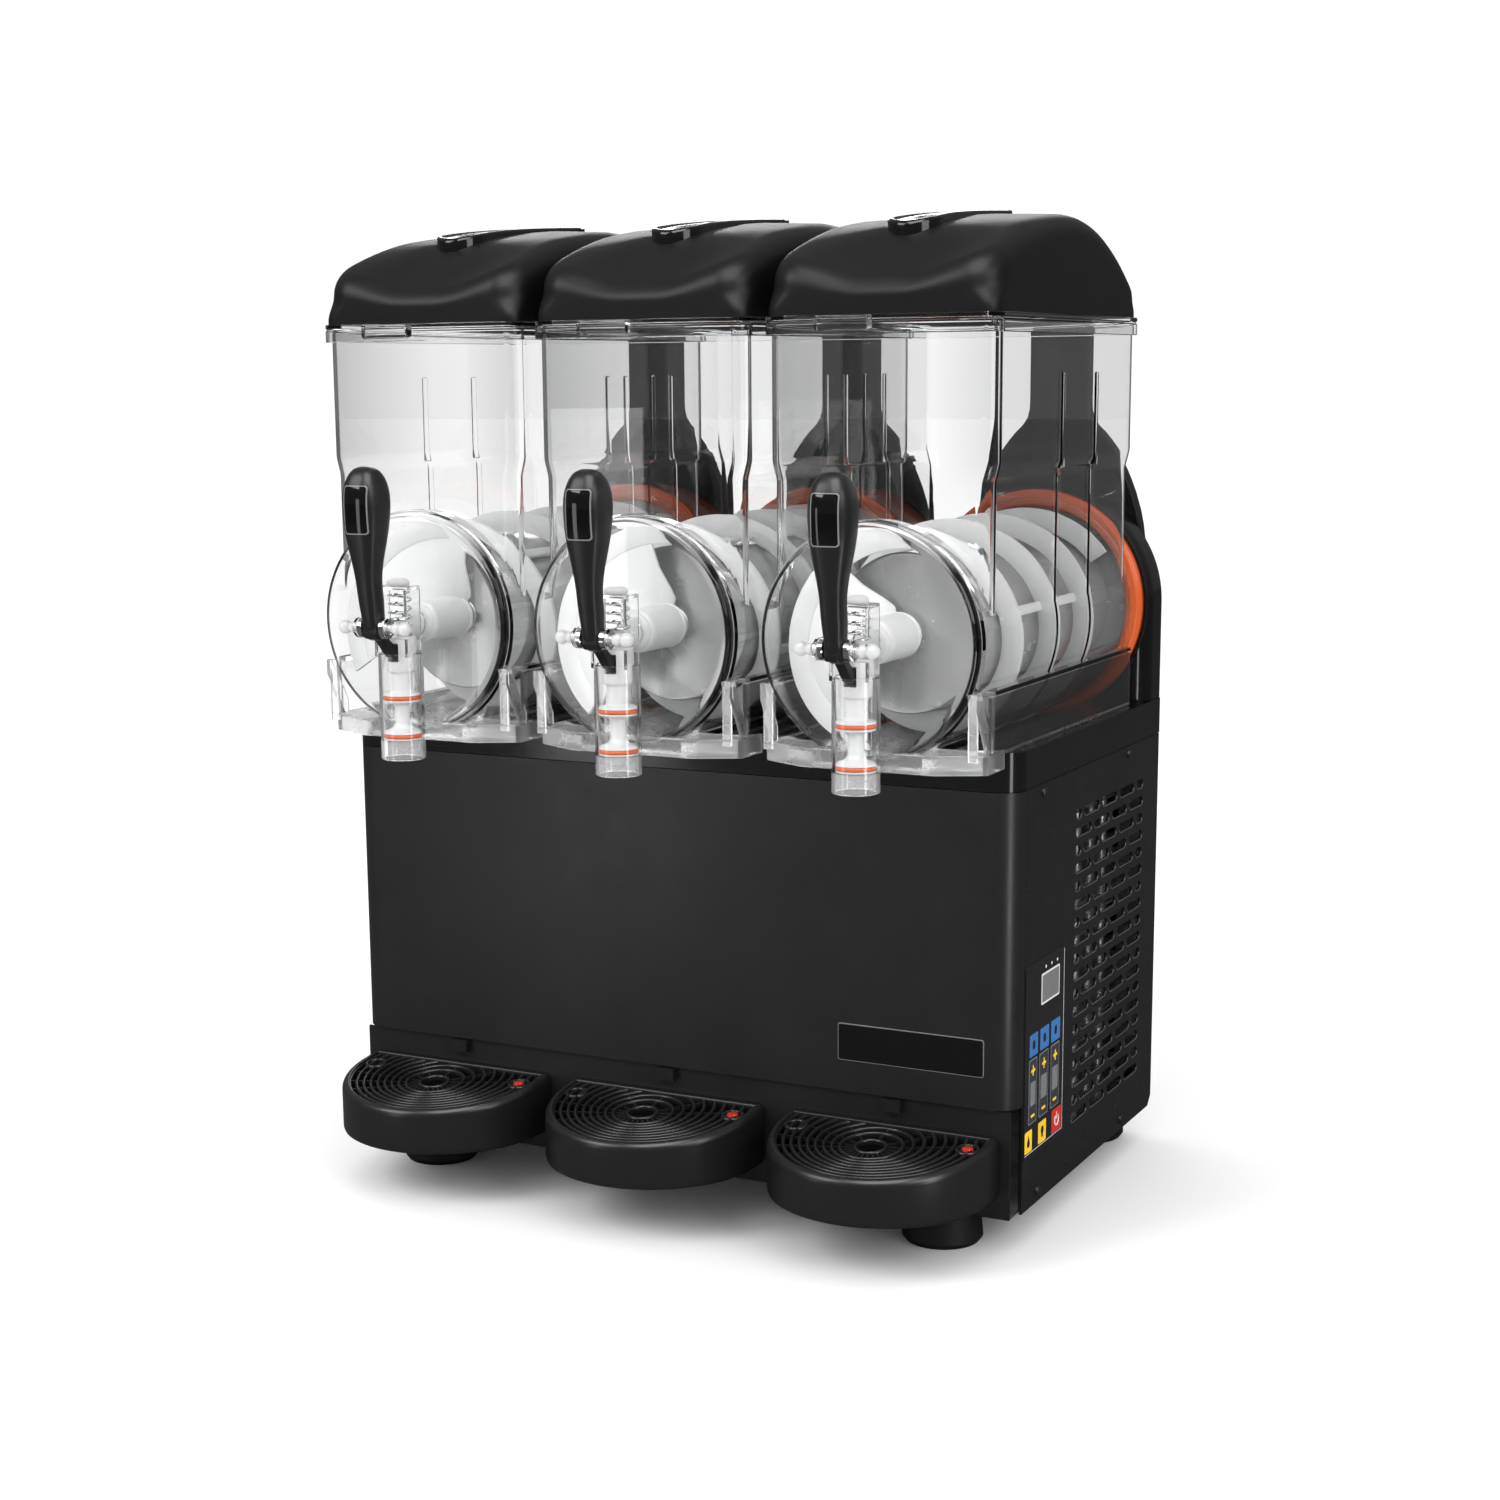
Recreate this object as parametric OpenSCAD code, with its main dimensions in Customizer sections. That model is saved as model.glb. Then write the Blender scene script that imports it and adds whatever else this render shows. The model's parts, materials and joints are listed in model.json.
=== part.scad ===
// Frozen-drink (slush) dispenser with three clear bowls on one refrigerated cabinet.
// Millimetres, +Z up, front faces -Y, origin on the floor under the middle of the machine.
// Bowl numbers run 1, 2, 3 from the left (-X) to the right (+X).

/* [Cabinet] */
// Overall width of the cabinet
machine_w = 600; // [596:1:606]
// Front panel plane, measured from the origin
front_y = -120; // [-124:1:-116]
// Depth of the side panels
cab_d = 346; // [340:1:350]
// Height of the rubber feet
foot_h = 28; // [24:1:32]
// Diameter of the rubber feet
foot_d = 64; // [50:1:66]
// Top of the cabinet, underside of the deck
cab_top = 361; // [358:1:364]
// Lower edge of the front panel
panel_z = 115; // [105:1:125]
// Top face of the deck
deck_top = 391; // [390:0.5:391]
// Sheet thickness of the panels
sheet = 2; // [1.5:0.5:2.5]
// Outer radius of the rolled front corners
corner_r = 20; // [16:1:22]

/* [Bowls] */
// Distance between bowl centres
pitch = 200; // [198:1:203]
// Height of the auger axis
axis_z = 474; // [473:0.5:475]
// Outer radius of the cylinder part of a bowl
cyl_r = 90; // [89:0.5:91]
// Wall thickness of a bowl
wall = 3; // [2.5:0.5:3.5]
// Half width of the upper hopper
hop_w = 91; // [90:0.5:92]
// Height of the hopper's top edge
hop_top = 705; // [700:1:706]
// Height of the step in the hopper walls
step_z = 598; // [590:1:604]

/* [Auger and drum] */
// Outer radius of the auger flights
auger_r = 82; // [80:0.5:84]
// Inner radius of the auger flights
auger_ri = 65; // [64.5:0.5:67]
// Advance of the flights per turn
flight_pitch = 80.5; // [70:0.5:84]
// Outer radius of the evaporator drum
drum_r = 62; // [58:0.5:62.5]

/* [Tap] */
// Bore radius of the tap tube
tap_r = 15.5; // [15:0.1:16]
// Distance of the tap tube in front of the panel plane
tap_y = 69; // [68:0.5:70]
// Lower end of the tap tube
tap_z = 366; // [362:1:370]
// Height of the lever pin
pin_z = 474.6; // [474:0.1:475]
// Distance of the lever pin in front of the panel plane
pin_y = 103; // [102:0.5:104]
// Diameter of the lever pin
pin_d = 6; // [5:0.5:6.5]

/* [Drip trays] */
// Radius of the tray's round front
tray_r = 88.7; // [86:0.1:90]
// Underside of the trays
tray_z = 45; // [40:1:48]
// Downward slope of the tray tops to the front, degrees
tray_tilt = 6.4; // [4:0.1:8]

/* [Hidden] */
$fn = 72;
hw = machine_w / 2;
house_y = 312;              // front face of the motor housing, behind the panel plane
house_b = 352;              // rear face of the motor housing
col_b = 366;                // rear face of the columns
arch_r = 98.5;              // radius of the housing's three arches
vent_pitch = 45;            // spacing of the slots in one row
vent_row = 14.7;            // spacing of the rows
tray_back = 3;              // rear face of the trays
tray_yc = -20;              // centre of the tray's round front
tray_top = 94.5;            // top of the trays at their rear edge
piston_rings_z = [385, 416];
foot_at = [[-235, 20], [235, 20], [-250, 322], [250, 322]];
screw_at = [[58, 353.5], [264, 353.5], [56, 37], [262, 37]];   // y and z on both side panels

// ---- helpers ----
// rounded rectangle from x0,y0 to x1,y1
module rrect(x0, y0, x1, y1, r) {
  translate([x0 + r, y0]) square([x1 - x0 - 2 * r, y1 - y0]);
  translate([x0, y0 + r]) square([x1 - x0, y1 - y0 - 2 * r]);
  for (x = [x0 + r, x1 - r]) for (y = [y0 + r, y1 - r]) translate([x, y]) circle(r = r);
}
module slab(x0, y0, x1, y1, z0, z1, r) { translate([0, 0, z0]) linear_extrude(z1 - z0) rrect(x0, y0, x1, y1, r); }
module bar(x0, y0, z0, x1, y1, z1) { translate([x0, y0, z0]) cube([x1 - x0, y1 - y0, z1 - z0]); }
// cylinder along Y from y0 to y1 at height z
module ycyl(y0, y1, r, z) { translate([0, y0, z]) rotate([-90, 0, 0]) cylinder(h = y1 - y0, r = r); }
// cylinder along X from x0 to x1
module xcyl(x0, x1, r, y, z) { translate([x0, y, z]) rotate([0, 90, 0]) cylinder(h = x1 - x0, r = r); }
module vcyl(x, y, z0, z1, r) { translate([x, y, z0]) cylinder(h = z1 - z0, r = r); }
module at(i) { translate([(i - 2) * pitch, front_y, 0]) children(); }
module base() { translate([0, front_y, 0]) children(); }
// slot with round ends, long side along Y, cut through X
module yslot(x0, x1, y0, y1, zc, h) {
  bar(x0, y0 + h / 2, zc - h / 2, x1, y1 - h / 2, zc + h / 2);
  xcyl(x0, x1, h / 2, y0 + h / 2, zc);
  xcyl(x0, x1, h / 2, y1 - h / 2, zc);
}
// rows of slots laid like bricks on a side panel
module side_vents(x0, x1) {
  for (k = [0 : 17]) {
    z = 323.5 - k * vent_row;
    for (m = [0 : 3]) {
      a = (k % 2 == 0) ? 152 + m * vent_pitch : 133 + m * vent_pitch;
      yslot(x0, x1, a, min(a + 37, 303), z, 8);
    }
    if (k % 2 == 0) yslot(x0, x1, 133, 145, z, 8);
  }
}

// ---- cabinet ----
module chassis() color("dimgray") base() {
  d = cab_d;
  difference() {
    union() {
      bar(-hw + 4, 6.5, foot_h, hw - 4, d - 3, foot_h + 3);
      for (s = [-1, 1]) {
        bar(s > 0 ? hw - 6.5 : -hw + 4, corner_r + 4, foot_h + 2, s > 0 ? hw - 4 : -hw + 6.5, d - 3, foot_h + 26);
        for (y = [corner_r + 4, d - 27]) bar(s > 0 ? hw - 26 : -hw + 4, y, foot_h + 2, s > 0 ? hw - 4 : -hw + 26, y + 22, cab_top);
        bar(s > 0 ? hw - 26 : -hw + 4, corner_r + 4, cab_top - 22, s > 0 ? hw - 4 : -hw + 26, d - 5, cab_top);
      }
      bar(-hw + 26, 24, cab_top - 22, hw - 26, 46, cab_top);
      bar(-hw + 26, d - 27, cab_top - 22, hw - 26, d - 5, cab_top);
      bar(-hw + 26, 24, panel_z - 8, hw - 26, 34, panel_z + 14);
    }
    for (p = foot_at) vcyl(p[0], p[1], foot_h - 1, foot_h + 4, 4.1);
    for (s = [-1, 1]) for (p = screw_at) xcyl(s > 0 ? hw - 30 : -hw + 2, s > 0 ? hw - 2 : -hw + 30, 1.7, p[0], p[1]);
  }
}
module front_panel() color("#232426") base() {
  difference() {
    union() {
      bar(-hw + corner_r, 0, panel_z, hw - corner_r, sheet, cab_top - 0.5);
      for (s = [-1, 1]) translate([s * (hw - corner_r), corner_r, panel_z]) intersection() {
        difference() { cylinder(h = cab_top - 0.5 - panel_z, r = corner_r); translate([0, 0, -1]) cylinder(h = cab_top, r = corner_r - sheet); }
        translate([s > 0 ? 0 : -corner_r, -corner_r, 0]) cube([corner_r, corner_r, 400]);
      }
      // hem folded back inside the lower edge
      bar(-hw + corner_r, sheet - 0.01, panel_z, hw - corner_r, sheet + 1, panel_z + 14);
    }
  }
  // bare plate recess frame for a badge
  bar(154, -1, 140, 276, 0, 170);
}
module lower_front_panel() color("#1c1d1f") base() {
  difference() {
    bar(-hw + 3.5, 3.5, foot_h, hw - 3.5, 3.5 + sheet, panel_z + 10);
    // slots that take the trays' hooks
    for (x = [-pitch, 0, pitch]) for (s = [-1, 1]) bar(x + s * 60 - 6, 0, 62, x + s * 60 + 6, 10, 76);
    for (x = [-pitch, 0, pitch]) translate([x, 0, 0]) ycyl(2, 7, 4.9, 108.5);
    // clear of the front panel's rolled corners
    for (s = [-1, 1]) bar(s > 0 ? 286 : -hw, 0, panel_z - 1, s > 0 ? hw : -286, 10, panel_z + 12);
  }
}
module side_shape(x0, x1) {
  y0 = corner_r + 0.5;
  translate([x0, 0, 0]) rotate([90, 0, 90]) linear_extrude(x1 - x0)
    polygon([[y0, foot_h], [cab_d - 8, foot_h], [cab_d, foot_h + 8], [cab_d, cab_top - 0.5], [y0, cab_top - 0.5]]);
}
module side_panel(s) base() {
  x0 = s > 0 ? hw - sheet : -hw;
  x1 = s > 0 ? hw : -hw + sheet;
  difference() {
    union() {
      side_shape(x0, x1);
      bar(s > 0 ? hw - 14 : -hw, cab_d - sheet, foot_h + 8, s > 0 ? hw : -hw + 14, cab_d, cab_top - 0.5);
    }
    side_vents(x0 - 1, x1 + 1);
    for (p = screw_at) xcyl(x0 - 1, x1 + 1, 1.7, p[0], p[1]);
  }
}
module right_side_panel() color("#1b1c1e") side_panel(1);
module left_side_panel() color("#1b1c1e") side_panel(-1);
module rear_panel() color("#1b1c1e") base() {
  difference() {
    bar(-hw + 15, cab_d - 3, foot_h + 3.5, hw - 15, cab_d - 1, cab_top - 0.5);
    for (k = [0 : 13]) for (m = [0 : 6])
      bar(-150 + m * 42 + (k % 2) * 21, cab_d - 6, 110 + k * 14.7, -118 + m * 42 + (k % 2) * 21, cab_d + 2, 117 + k * 14.7);
    translate([-230, cab_d - 6, 75]) rotate([-90, 0, 0]) cylinder(h = 10, r = 9.1);
  }
}
module feet() color("#141414") base() for (p = foot_at) translate([p[0], p[1], 0]) {
  rotate_extrude() polygon([[0, 0], [foot_d / 2 - 3, 0], [foot_d / 2, 4], [foot_d / 2 - 2, foot_h], [0, foot_h]]);
  translate([0, 0, foot_h - 1]) cylinder(h = 12, r = 4);
}
module dome_screw(s, y, z) translate([s * hw, y, z]) rotate([0, s * 90, 0]) {
  rotate_extrude() polygon([[0, 0], [4, 0], [3.8, 1], [2.9, 2], [1.4, 2.6], [0, 2.7]]);
  translate([0, 0, -12]) cylinder(h = 12.5, r = 1.65);
}
module panel_screws() color("#2a2a2a") base() for (s = [-1, 1]) for (p = screw_at) dome_screw(s, p[0], p[1]);
module control_film() color("#101113") base() {
  bar(hw, 23, 69, hw + 0.6, 111.5, 224);
  bar(hw + 0.59, 58.5, 185, hw + 1, 98.5, 209);
  for (m = [0 : 2]) {
    bar(hw + 0.59, 32.5 + m * 24.5, 149, hw + 1, 51 + m * 24.5, 167);
    bar(hw + 0.59, 33 + m * 24.6, 96, hw + 1, 50 + m * 24.6, 146);
  }
  bar(hw + 0.59, 24.5, 72, hw + 1, 40.5, 90);
  bar(hw + 0.59, 54.5, 72, hw + 1, 72, 90);
  bar(hw + 0.59, 85, 70, hw + 1, 107, 92);
}
module drain_spouts() color("#151515") base() for (x = [-pitch, 0, pitch]) translate([x, 0, 0]) difference() {
  union() { bar(-8, -3, 103.5, 8, 3.4, 113.5); ycyl(3.3, 23.5, 4.6, 108.5); }
  ycyl(-1, 28, 2.8, 108.5);
  vcyl(0, 0.2, 100, 108.5, 2);
}
module top_deck() color("#17181a") base() {
  difference() {
    union() {
      slab(-hw, 0, hw, house_b, cab_top, deck_top, corner_r);
      bar(-hw, house_b - 40, cab_top, hw, house_b, deck_top);
    }
    // hollow underside
    slab(-hw + 5, 5, hw - 5, house_b - 5, cab_top - 1, deck_top - 16, 16);
    // troughs under the three bowls
    for (x = [-pitch, 0, pitch]) translate([x, 0, 0]) {
      ycyl(-1, house_y, cyl_r + 6, axis_z);
      // condensate drain hole
      vcyl(0, 60, cab_top - 2, deck_top, 4);
    }
  }
}
// outline of the housing seen from the front
module arches(r, low) {
  translate([-pitch - r, low]) square([2 * (pitch + r), axis_z - low]);
  for (x = [-pitch, 0, pitch]) translate([x, axis_z]) circle(r = r);
}
module yplate(y0, y1) { translate([0, y1, 0]) rotate([90, 0, 0]) linear_extrude(y1 - y0) children(); }
module motor_housing() color("#121315") base() {
  difference() {
    union() {
      difference() {
        yplate(house_y, house_b) arches(arch_r, deck_top);
        yplate(house_y + 4, house_b + 1) arches(arch_r - 4, deck_top - 1);
      }
      for (x = [-pitch, 0, pitch]) translate([x, 0, 0]) difference() {
        ycyl(house_y - 6, house_y + 1, 102 - 4, axis_z);
        ycyl(house_y - 7, house_y + 2, 97, axis_z);
      }
    }
    for (x = [-pitch, 0, pitch]) translate([x, 0, 0]) ycyl(house_y - 8, house_y + 6, 40, axis_z);
    // everything below the deck's top face
    bar(-hw, house_y - 10, 300, hw, house_b + 4, deck_top);
  }
}
// bottle outline of a column
module bottle() {
  n = 14;
  for (m = [0, 1]) mirror([m, 0]) polygon(concat([[0, deck_top], [80, deck_top], [80, 520]],
    [for (i = [n : -1 : 0]) [26.5 + 46.5 * pow(sin(i / n * 90), 0.85), 624 - 80 * pow(i / n, 1.5)]], [[26.5, 712], [0, 712]]));
}
module rear_columns() color("#1a1b1d") base() for (x = [-pitch, 0, pitch]) translate([x, 0, 0]) difference() {
  yplate(house_b, col_b) bottle();
  // pocket open to the motor housing
  ycyl(house_b - 1, col_b - 3, 64, axis_z);
}
module evaporator_drums() color("silver") base() for (x = [-pitch, 0, pitch]) translate([x, 0, 0]) difference() {
  union() {
    ycyl(24, house_y, drum_r, axis_z);
    ycyl(house_y - 4, house_y, 80, axis_z);
    ycyl(house_y - 1, house_y + 6, 39.5, axis_z);
  }
  difference() { ycyl(26, house_y + 2, drum_r - 2, axis_z); ycyl(20, house_y + 8, 11, axis_z); }
  ycyl(20, house_y + 8, 8.1, axis_z);
}
module drum_seals() color("orangered") base() for (x = [-pitch, 0, pitch]) translate([x, 0, 0]) difference() {
  union() {
    ycyl(292.5, house_y, 92, axis_z);
    ycyl(292.5, 296, 95.5, axis_z);
    ycyl(299, 304, 96, axis_z);
    ycyl(307, house_y, 95.5, axis_z);
  }
  ycyl(290, house_y - 4, 84, axis_z);
  ycyl(house_y - 5, house_y + 1, 80, axis_z);
}
module gearmotors() color("gray") base() for (x = [-pitch, 0, pitch]) translate([x, 0, 0]) difference() {
  union() {
    bar(-50, house_y + 7, 434, 50, house_y + 34, 514);
    bar(-31, house_y + 9, 514, 31, house_y + 32, 560);
    bar(-16, house_y + 6.5, 520, 16, house_y + 36, 552);
  }
  ycyl(house_y, house_y + 40, 6.6, axis_z);
  ycyl(house_y, house_y + 8.7, 8.1, axis_z);
}

// ---- refrigeration ----
module compressor() color("#1d1d1f") base() translate([-150, 185, 0]) {
  for (x = [-60, 60]) for (y = [-50, 50]) vcyl(x, y, foot_h + 3, foot_h + 15, 11);
  bar(-85, -64, foot_h + 15, 85, 64, foot_h + 18);
  translate([0, 0, foot_h + 18]) {
    rotate_extrude() polygon([[0, 0], [70, 0], [76, 10], [76, 70], [74, 78], [76, 86], [76, 120], [66, 146], [40, 160], [0, 164]]);
    bar(60, -28, 50, 98, 28, 105);
  }
}
module condenser() color("#9a9c9e") base() {
  // header plates, fins and serpentine tube ends
  for (z = [60, 330]) bar(226, 128, z - 4, 290, 300, z);
  for (k = [0 : 20]) bar(228, 130, 58 + k * 13, 288, 298, 59.2 + k * 13);
  for (y = [150 : 32 : 282]) for (x = [242, 272]) vcyl(x, y, 57, 329, 4.8);
  bar(226, 128, foot_h + 3, 287, 300, 56);
}
module fan_shroud() color("#2b2c2e") base() difference() {
  union() {
    bar(206, 132, foot_h + 3, 222, 296, 310);
    bar(196, 205, foot_h + 3, 206, 223, 310);
    xcyl(176, 206, 22, 214, 195);
  }
  xcyl(205, 224, 72, 214, 195);
  xcyl(170, 206.5, 4.2, 214, 195);
}
module fan_rotor() color("#c9cbcd") base() translate([0, 214, 195]) rotate([0, 90, 0]) {
  translate([0, 0, 209]) cylinder(h = 11, r = 18);
  translate([0, 0, 180]) cylinder(h = 30, r = 3.6);
  for (a = [0 : 72 : 288]) rotate([0, 0, a]) translate([14, -15, 214]) rotate([18, 0, 0]) cube([52, 30, 1.6]);
}
module cable_gland() color("#111111") base() translate([-230, cab_d - 12, 75]) rotate([-90, 0, 0]) difference() {
  union() { cylinder(h = 24, r = 9); translate([0, 0, 4]) cylinder(h = 5, r = 13); translate([0, 0, 11]) cylinder(h = 8, r = 12, $fn = 6); }
  translate([0, 0, -1]) cylinder(h = 30, r = 4.2);
}

// ---- bowls ----
module tongue_shape(o) { polygon([[-90.5 + o, -1 - o], [-90.5 + o, -34], [-53 + o * 0.4, -52 + o], [53 - o * 0.4, -52 + o], [90.5 - o, -34], [90.5 - o, -1 - o], [86 + o, -1 - o], [70 + o * 0.5, -14 + o * 0], [-70 - o * 0.5, -14 + o * 0], [-86 - o, -1 - o]]); }
module bowl(i) color([0.85, 0.88, 0.9, 0.45]) at(i) {
  lw = hop_w - 3.5;
  tb = -tap_y;
  difference() {
    union() {
      // hopper and horizontal cylinder
      slab(-hop_w, -29, hop_w, 286, step_z, hop_top, 12);
      slab(-lw, -29, lw, 286, axis_z, step_z + 1, 12);
      ycyl(-44, 292, cyl_r, axis_z);
      ycyl(-52, -43, cyl_r - 2, axis_z);
      for (s = [-1, 1]) {
        // flange, skirt and front leg
        bar(s > 0 ? 80 : -90.5, -30, 436, s > 0 ? 90.5 : -80, 292, 440);
        bar(s > 0 ? 87.5 : -90.5, -30, deck_top + 0.2, s > 0 ? 90.5 : -87.5, 292, 438);
        bar(s > 0 ? 79 : -86, -48, 392, s > 0 ? 86 : -79, -43, 440);
        // ribs up the outside wall
        for (y = [107, 184]) {
          bar(s > 0 ? 85 : -92.2, y, step_z, s > 0 ? 92.2 : -85, y + 7, 668);
          bar(s > 0 ? 85 : -88.7, y, 480, s > 0 ? 88.7 : -85, y + 7, step_z + 1);
        }
      }
      for (y = [107, 184]) ycyl(y, y + 7, cyl_r + 1.2, axis_z);
      // front foot plate, hollow underneath
      difference() {
        translate([0, 0, 379]) linear_extrude(15) tongue_shape(0);
        translate([0, 0, 378]) linear_extrude(13) polygon([[-87, -17], [-87, -32], [-52, -49], [52, -49], [87, -32], [87, -17]]);
      }
      // tap tube with its web to the front wall
      vcyl(0, tb, tap_z, 452, tap_r + 2.5);
      bar(-8, tb + 12, 389, 8, -50, 452);
      // spring guard and ears for the lever pin
      for (s = [-1, 1]) {
        bar(s > 0 ? 13 : -16, tb - 13, 450, s > 0 ? 16 : -13, tb + 7, 505.5);
        bar(s > 0 ? 13 : -16, -pin_y - 8, pin_z - 8, s > 0 ? 16 : -13, tb, pin_z + 8);
      }
      bar(-16, tb - 13, 501.5, 16, tb + 7, 505.5);
      vcyl(0, tb, 505, 511, 8.5);
    }
    // inside of hopper and cylinder
    slab(-hop_w + wall, -29 + wall, hop_w - wall, 286 - wall, step_z + wall, hop_top + 1, 9.5);
    slab(-lw + wall, -29 + wall, lw - wall, 286 - wall, axis_z, step_z + wall + 1, 9.5);
    ycyl(-44 - wall, 293, cyl_r - wall, axis_z);
    // bush for the auger nose
    ycyl(-49.5, -46, 11.3, axis_z);
    // tap bore and outlet port into the cylinder
    vcyl(0, tb, tap_z - 1, 453, tap_r);
    ycyl(-tap_y + 2, -46, 6, 396);
    xcyl(-20, 20, pin_d / 2 + 0.05, -pin_y, pin_z);
  }
}
module lid_frame(i) color([0.85, 0.88, 0.9, 0.5]) at(i) {
  difference() {
    union() { slab(-94.5, -34, 94.5, 289.5, 697, 711, 13); slab(-46.5, -43, -3.5, -20, 699, 710, 3); }
    slab(-92.2, -31, 92.2, 287.2, 696, 708, 12);
    slab(-80, -18, 80, 275, 690, 712, 10);
  }
}
// height of a lid along its length: a steep front, a peak near the back and a round rear
function lid_y(a, o) = 200 - (a < 90 ? 232 - o : 86 - o) * cos(a);
function lid_z(a, o) = (a < 90 ? 735 + 58 * pow(1 - pow(cos(a), 2), 0.55) : 741 + 52 * pow(1 - pow(-cos(a), 2.2), 0.5)) - o;
// height of a lid across its width: a low crown with soft shoulders
function lid_x(x, o) = (x < 80 ? 793 - 11 * pow(x / 80, 1.27) : 766 + 16 * sqrt(max(0, 1 - pow((x - 80) / 12.2, 2)))) - o;
module lid_solid(o) {
  n = 28;
  intersection() {
    slab(-92 + o, -32 + o, 92 - o, 286 - o, 711 - (o > 0 ? 2 : 0), 800, 12 - o);
    translate([-100, 0, 0]) rotate([90, 0, 90]) linear_extrude(200)
      polygon(concat([[-32 + o, 700]], [for (k = [0 : n]) let (a = 180 * k / n) [lid_y(a, o), lid_z(a, o)]], [[286 - o, 700]]));
    translate([0, 300, 0]) rotate([90, 0, 0]) linear_extrude(400)
      polygon(concat([[92, 700]], [for (x = [92 : -2 : -92]) [x, lid_x(abs(x), o)]], [[-92, 700]]));
  }
}
// outline of the grip insert: round front, long taper to the back
module drop_shape() {
  n = 12;
  polygon(concat([for (k = [0 : n]) let (a = 180 + 180 * k / n) [21 * cos(a), 37 + 21 * sin(a)]], [[17, 90], [11, 160], [5, 222], [0, 231], [-5, 222], [-11, 160], [-17, 90]]));
}
module lid_cover(i) color("#1e1f21") at(i) difference() {
  union() {
    lid_solid(0);
    intersection() {
      translate([0, 0, 740]) linear_extrude(60) drop_shape();
      translate([-30, 0, 0]) rotate([90, 0, 90]) linear_extrude(60)
        polygon(concat([[15, 730]], [for (k = [0 : 16]) [16 + 216 * pow(k / 16, 1.6), 776 + 21.5 * pow(k / 16, 0.8)]], [[234, 730]]));
    }
  }
  lid_solid(3);
}
// advance of the flight along Y, t degrees of turn behind its front tip
function advance(t) = min(282, t < 88 ? -34 + 24 * t / 88 : t < 178 ? -10 + 28 * (t - 88) / 90 : t < 268 ? 18 + 31 * (t - 178) / 90 : 49 + flight_pitch * (t - 268) / 360);
// helical strip as one closed ribbon of rings, k0 to k1 steps of 18 degrees behind the tip
module flight(r0, r1, k0, k1, y0, th, tip) {
  ring = function (k) let (y = y0 + advance(18 * k), a = tip - 18 * k)
    [[r0 * cos(a), y, r0 * sin(a)], [r1 * cos(a), y, r1 * sin(a)], [r1 * cos(a), y + th, r1 * sin(a)], [r0 * cos(a), y + th, r0 * sin(a)]];
  n = k1 - k0;
  pts = [for (k = [k0 : k1]) each ring(k)];
  faces = concat([[3, 2, 1, 0]], [[4 * n, 4 * n + 1, 4 * n + 2, 4 * n + 3]],
    [for (k = [0 : n - 1]) for (j = [0 : 3]) each let (p = 4 * k + j, q = 4 * k + 4 + j, r = 4 * k + 4 + (j + 1) % 4, t = 4 * k + (j + 1) % 4) [[p, r, q], [p, t, r]]]);
  translate([0, 0, axis_z]) polyhedron(points = pts, faces = faces, convexity = 8);
}
// angle of the front tip at rest in each bowl, seen from the front
tip_at = [213, 236, 268];
module auger(i) color("whitesmoke") at(i) {
  tip = tip_at[i - 1];
  flight(auger_ri, auger_r, 0, 73, 0, 4, tip);
  // broad blade from the nose hub out to the first part of the flight
  flight(12, auger_ri + 1.5, 0, 8, 0.8, 2.4, tip);
  // bars that tie the flights together, each from its first to its last crossing
  for (b = [76, 166, 256, 346]) translate([0, 0, axis_z]) rotate([0, b - tip, 0])
    bar(auger_ri + 0.5, advance(b) + 0.6, -4, auger_ri + 4.5, advance(b + 360 * floor((1300 - b) / 360)) + 3, 4);
  difference() {
    union() { ycyl(-48.5, -30, 11, axis_z); ycyl(-40, 14, 17, axis_z); }
    ycyl(-36, 15, 7, axis_z);
  }
}
module drive_shaft(i) color("lightgray") at(i) {
  ycyl(-36, 20, 7, axis_z);
  ycyl(20, house_y + 8, 7.4, axis_z);
  ycyl(house_y + 8, house_y + 36, 6, axis_z);
}
module tap_piston(i) color("white") at(i) translate([0, -tap_y, 0]) difference() {
  union() {
    for (z = piston_rings_z) vcyl(0, 0, z - 3.5, z + 3.5, tap_r - 0.4);
    vcyl(0, 0, 388, 413, 6);
    vcyl(0, 0, 419, 438, 9);
    vcyl(0, 0, 437, 465, 11.5);
    vcyl(0, 0, 464, 478, 4);
  }
  for (z = piston_rings_z) difference() { vcyl(0, 0, z - 1.8, z + 1.8, tap_r + 1); vcyl(0, 0, z - 2, z + 2, tap_r - 3); }
  // slot for the lever's tail
  bar(-5, -13, 446, 5, 7.5, 460);
}
module piston_rings(i) color("orangered") at(i) translate([0, -tap_y, 0]) for (z = piston_rings_z)
  difference() { vcyl(0, 0, z - 1.7, z + 1.7, tap_r - 0.08); vcyl(0, 0, z - 2, z + 2, tap_r - 2.9); }
// compression spring as a swept wire
module tap_spring(i) color("gainsboro") at(i) translate([0, -tap_y, 0]) {
  turns = 5; per = 14; m = 6; rm = 8.3; rw = 0.95; z0 = 465 + 1.1; z1 = 501.5 - 1.1;
  n = turns * per;
  ring = function (k) let (a = 360 * k / per, z = z0 + (z1 - z0) * k / n)
    [for (j = [0 : m - 1]) let (b = 360 * j / m) [(rm + rw * cos(b)) * cos(a), (rm + rw * cos(b)) * sin(a), z + rw * sin(b)]];
  pts = [for (k = [0 : n]) each ring(k)];
  polyhedron(points = pts, faces = concat([[for (j = [0 : m - 1]) m * n + j]], [[for (j = [m - 1 : -1 : 0]) j]],
    [for (k = [0 : n - 1]) for (j = [0 : m - 1]) each let (p = m * k + j, q = m * k + (j + 1) % m, r = m * (k + 1) + (j + 1) % m, t = m * (k + 1) + j) [[p, q, r], [p, r, t]]]), convexity = 8);
}
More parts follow.
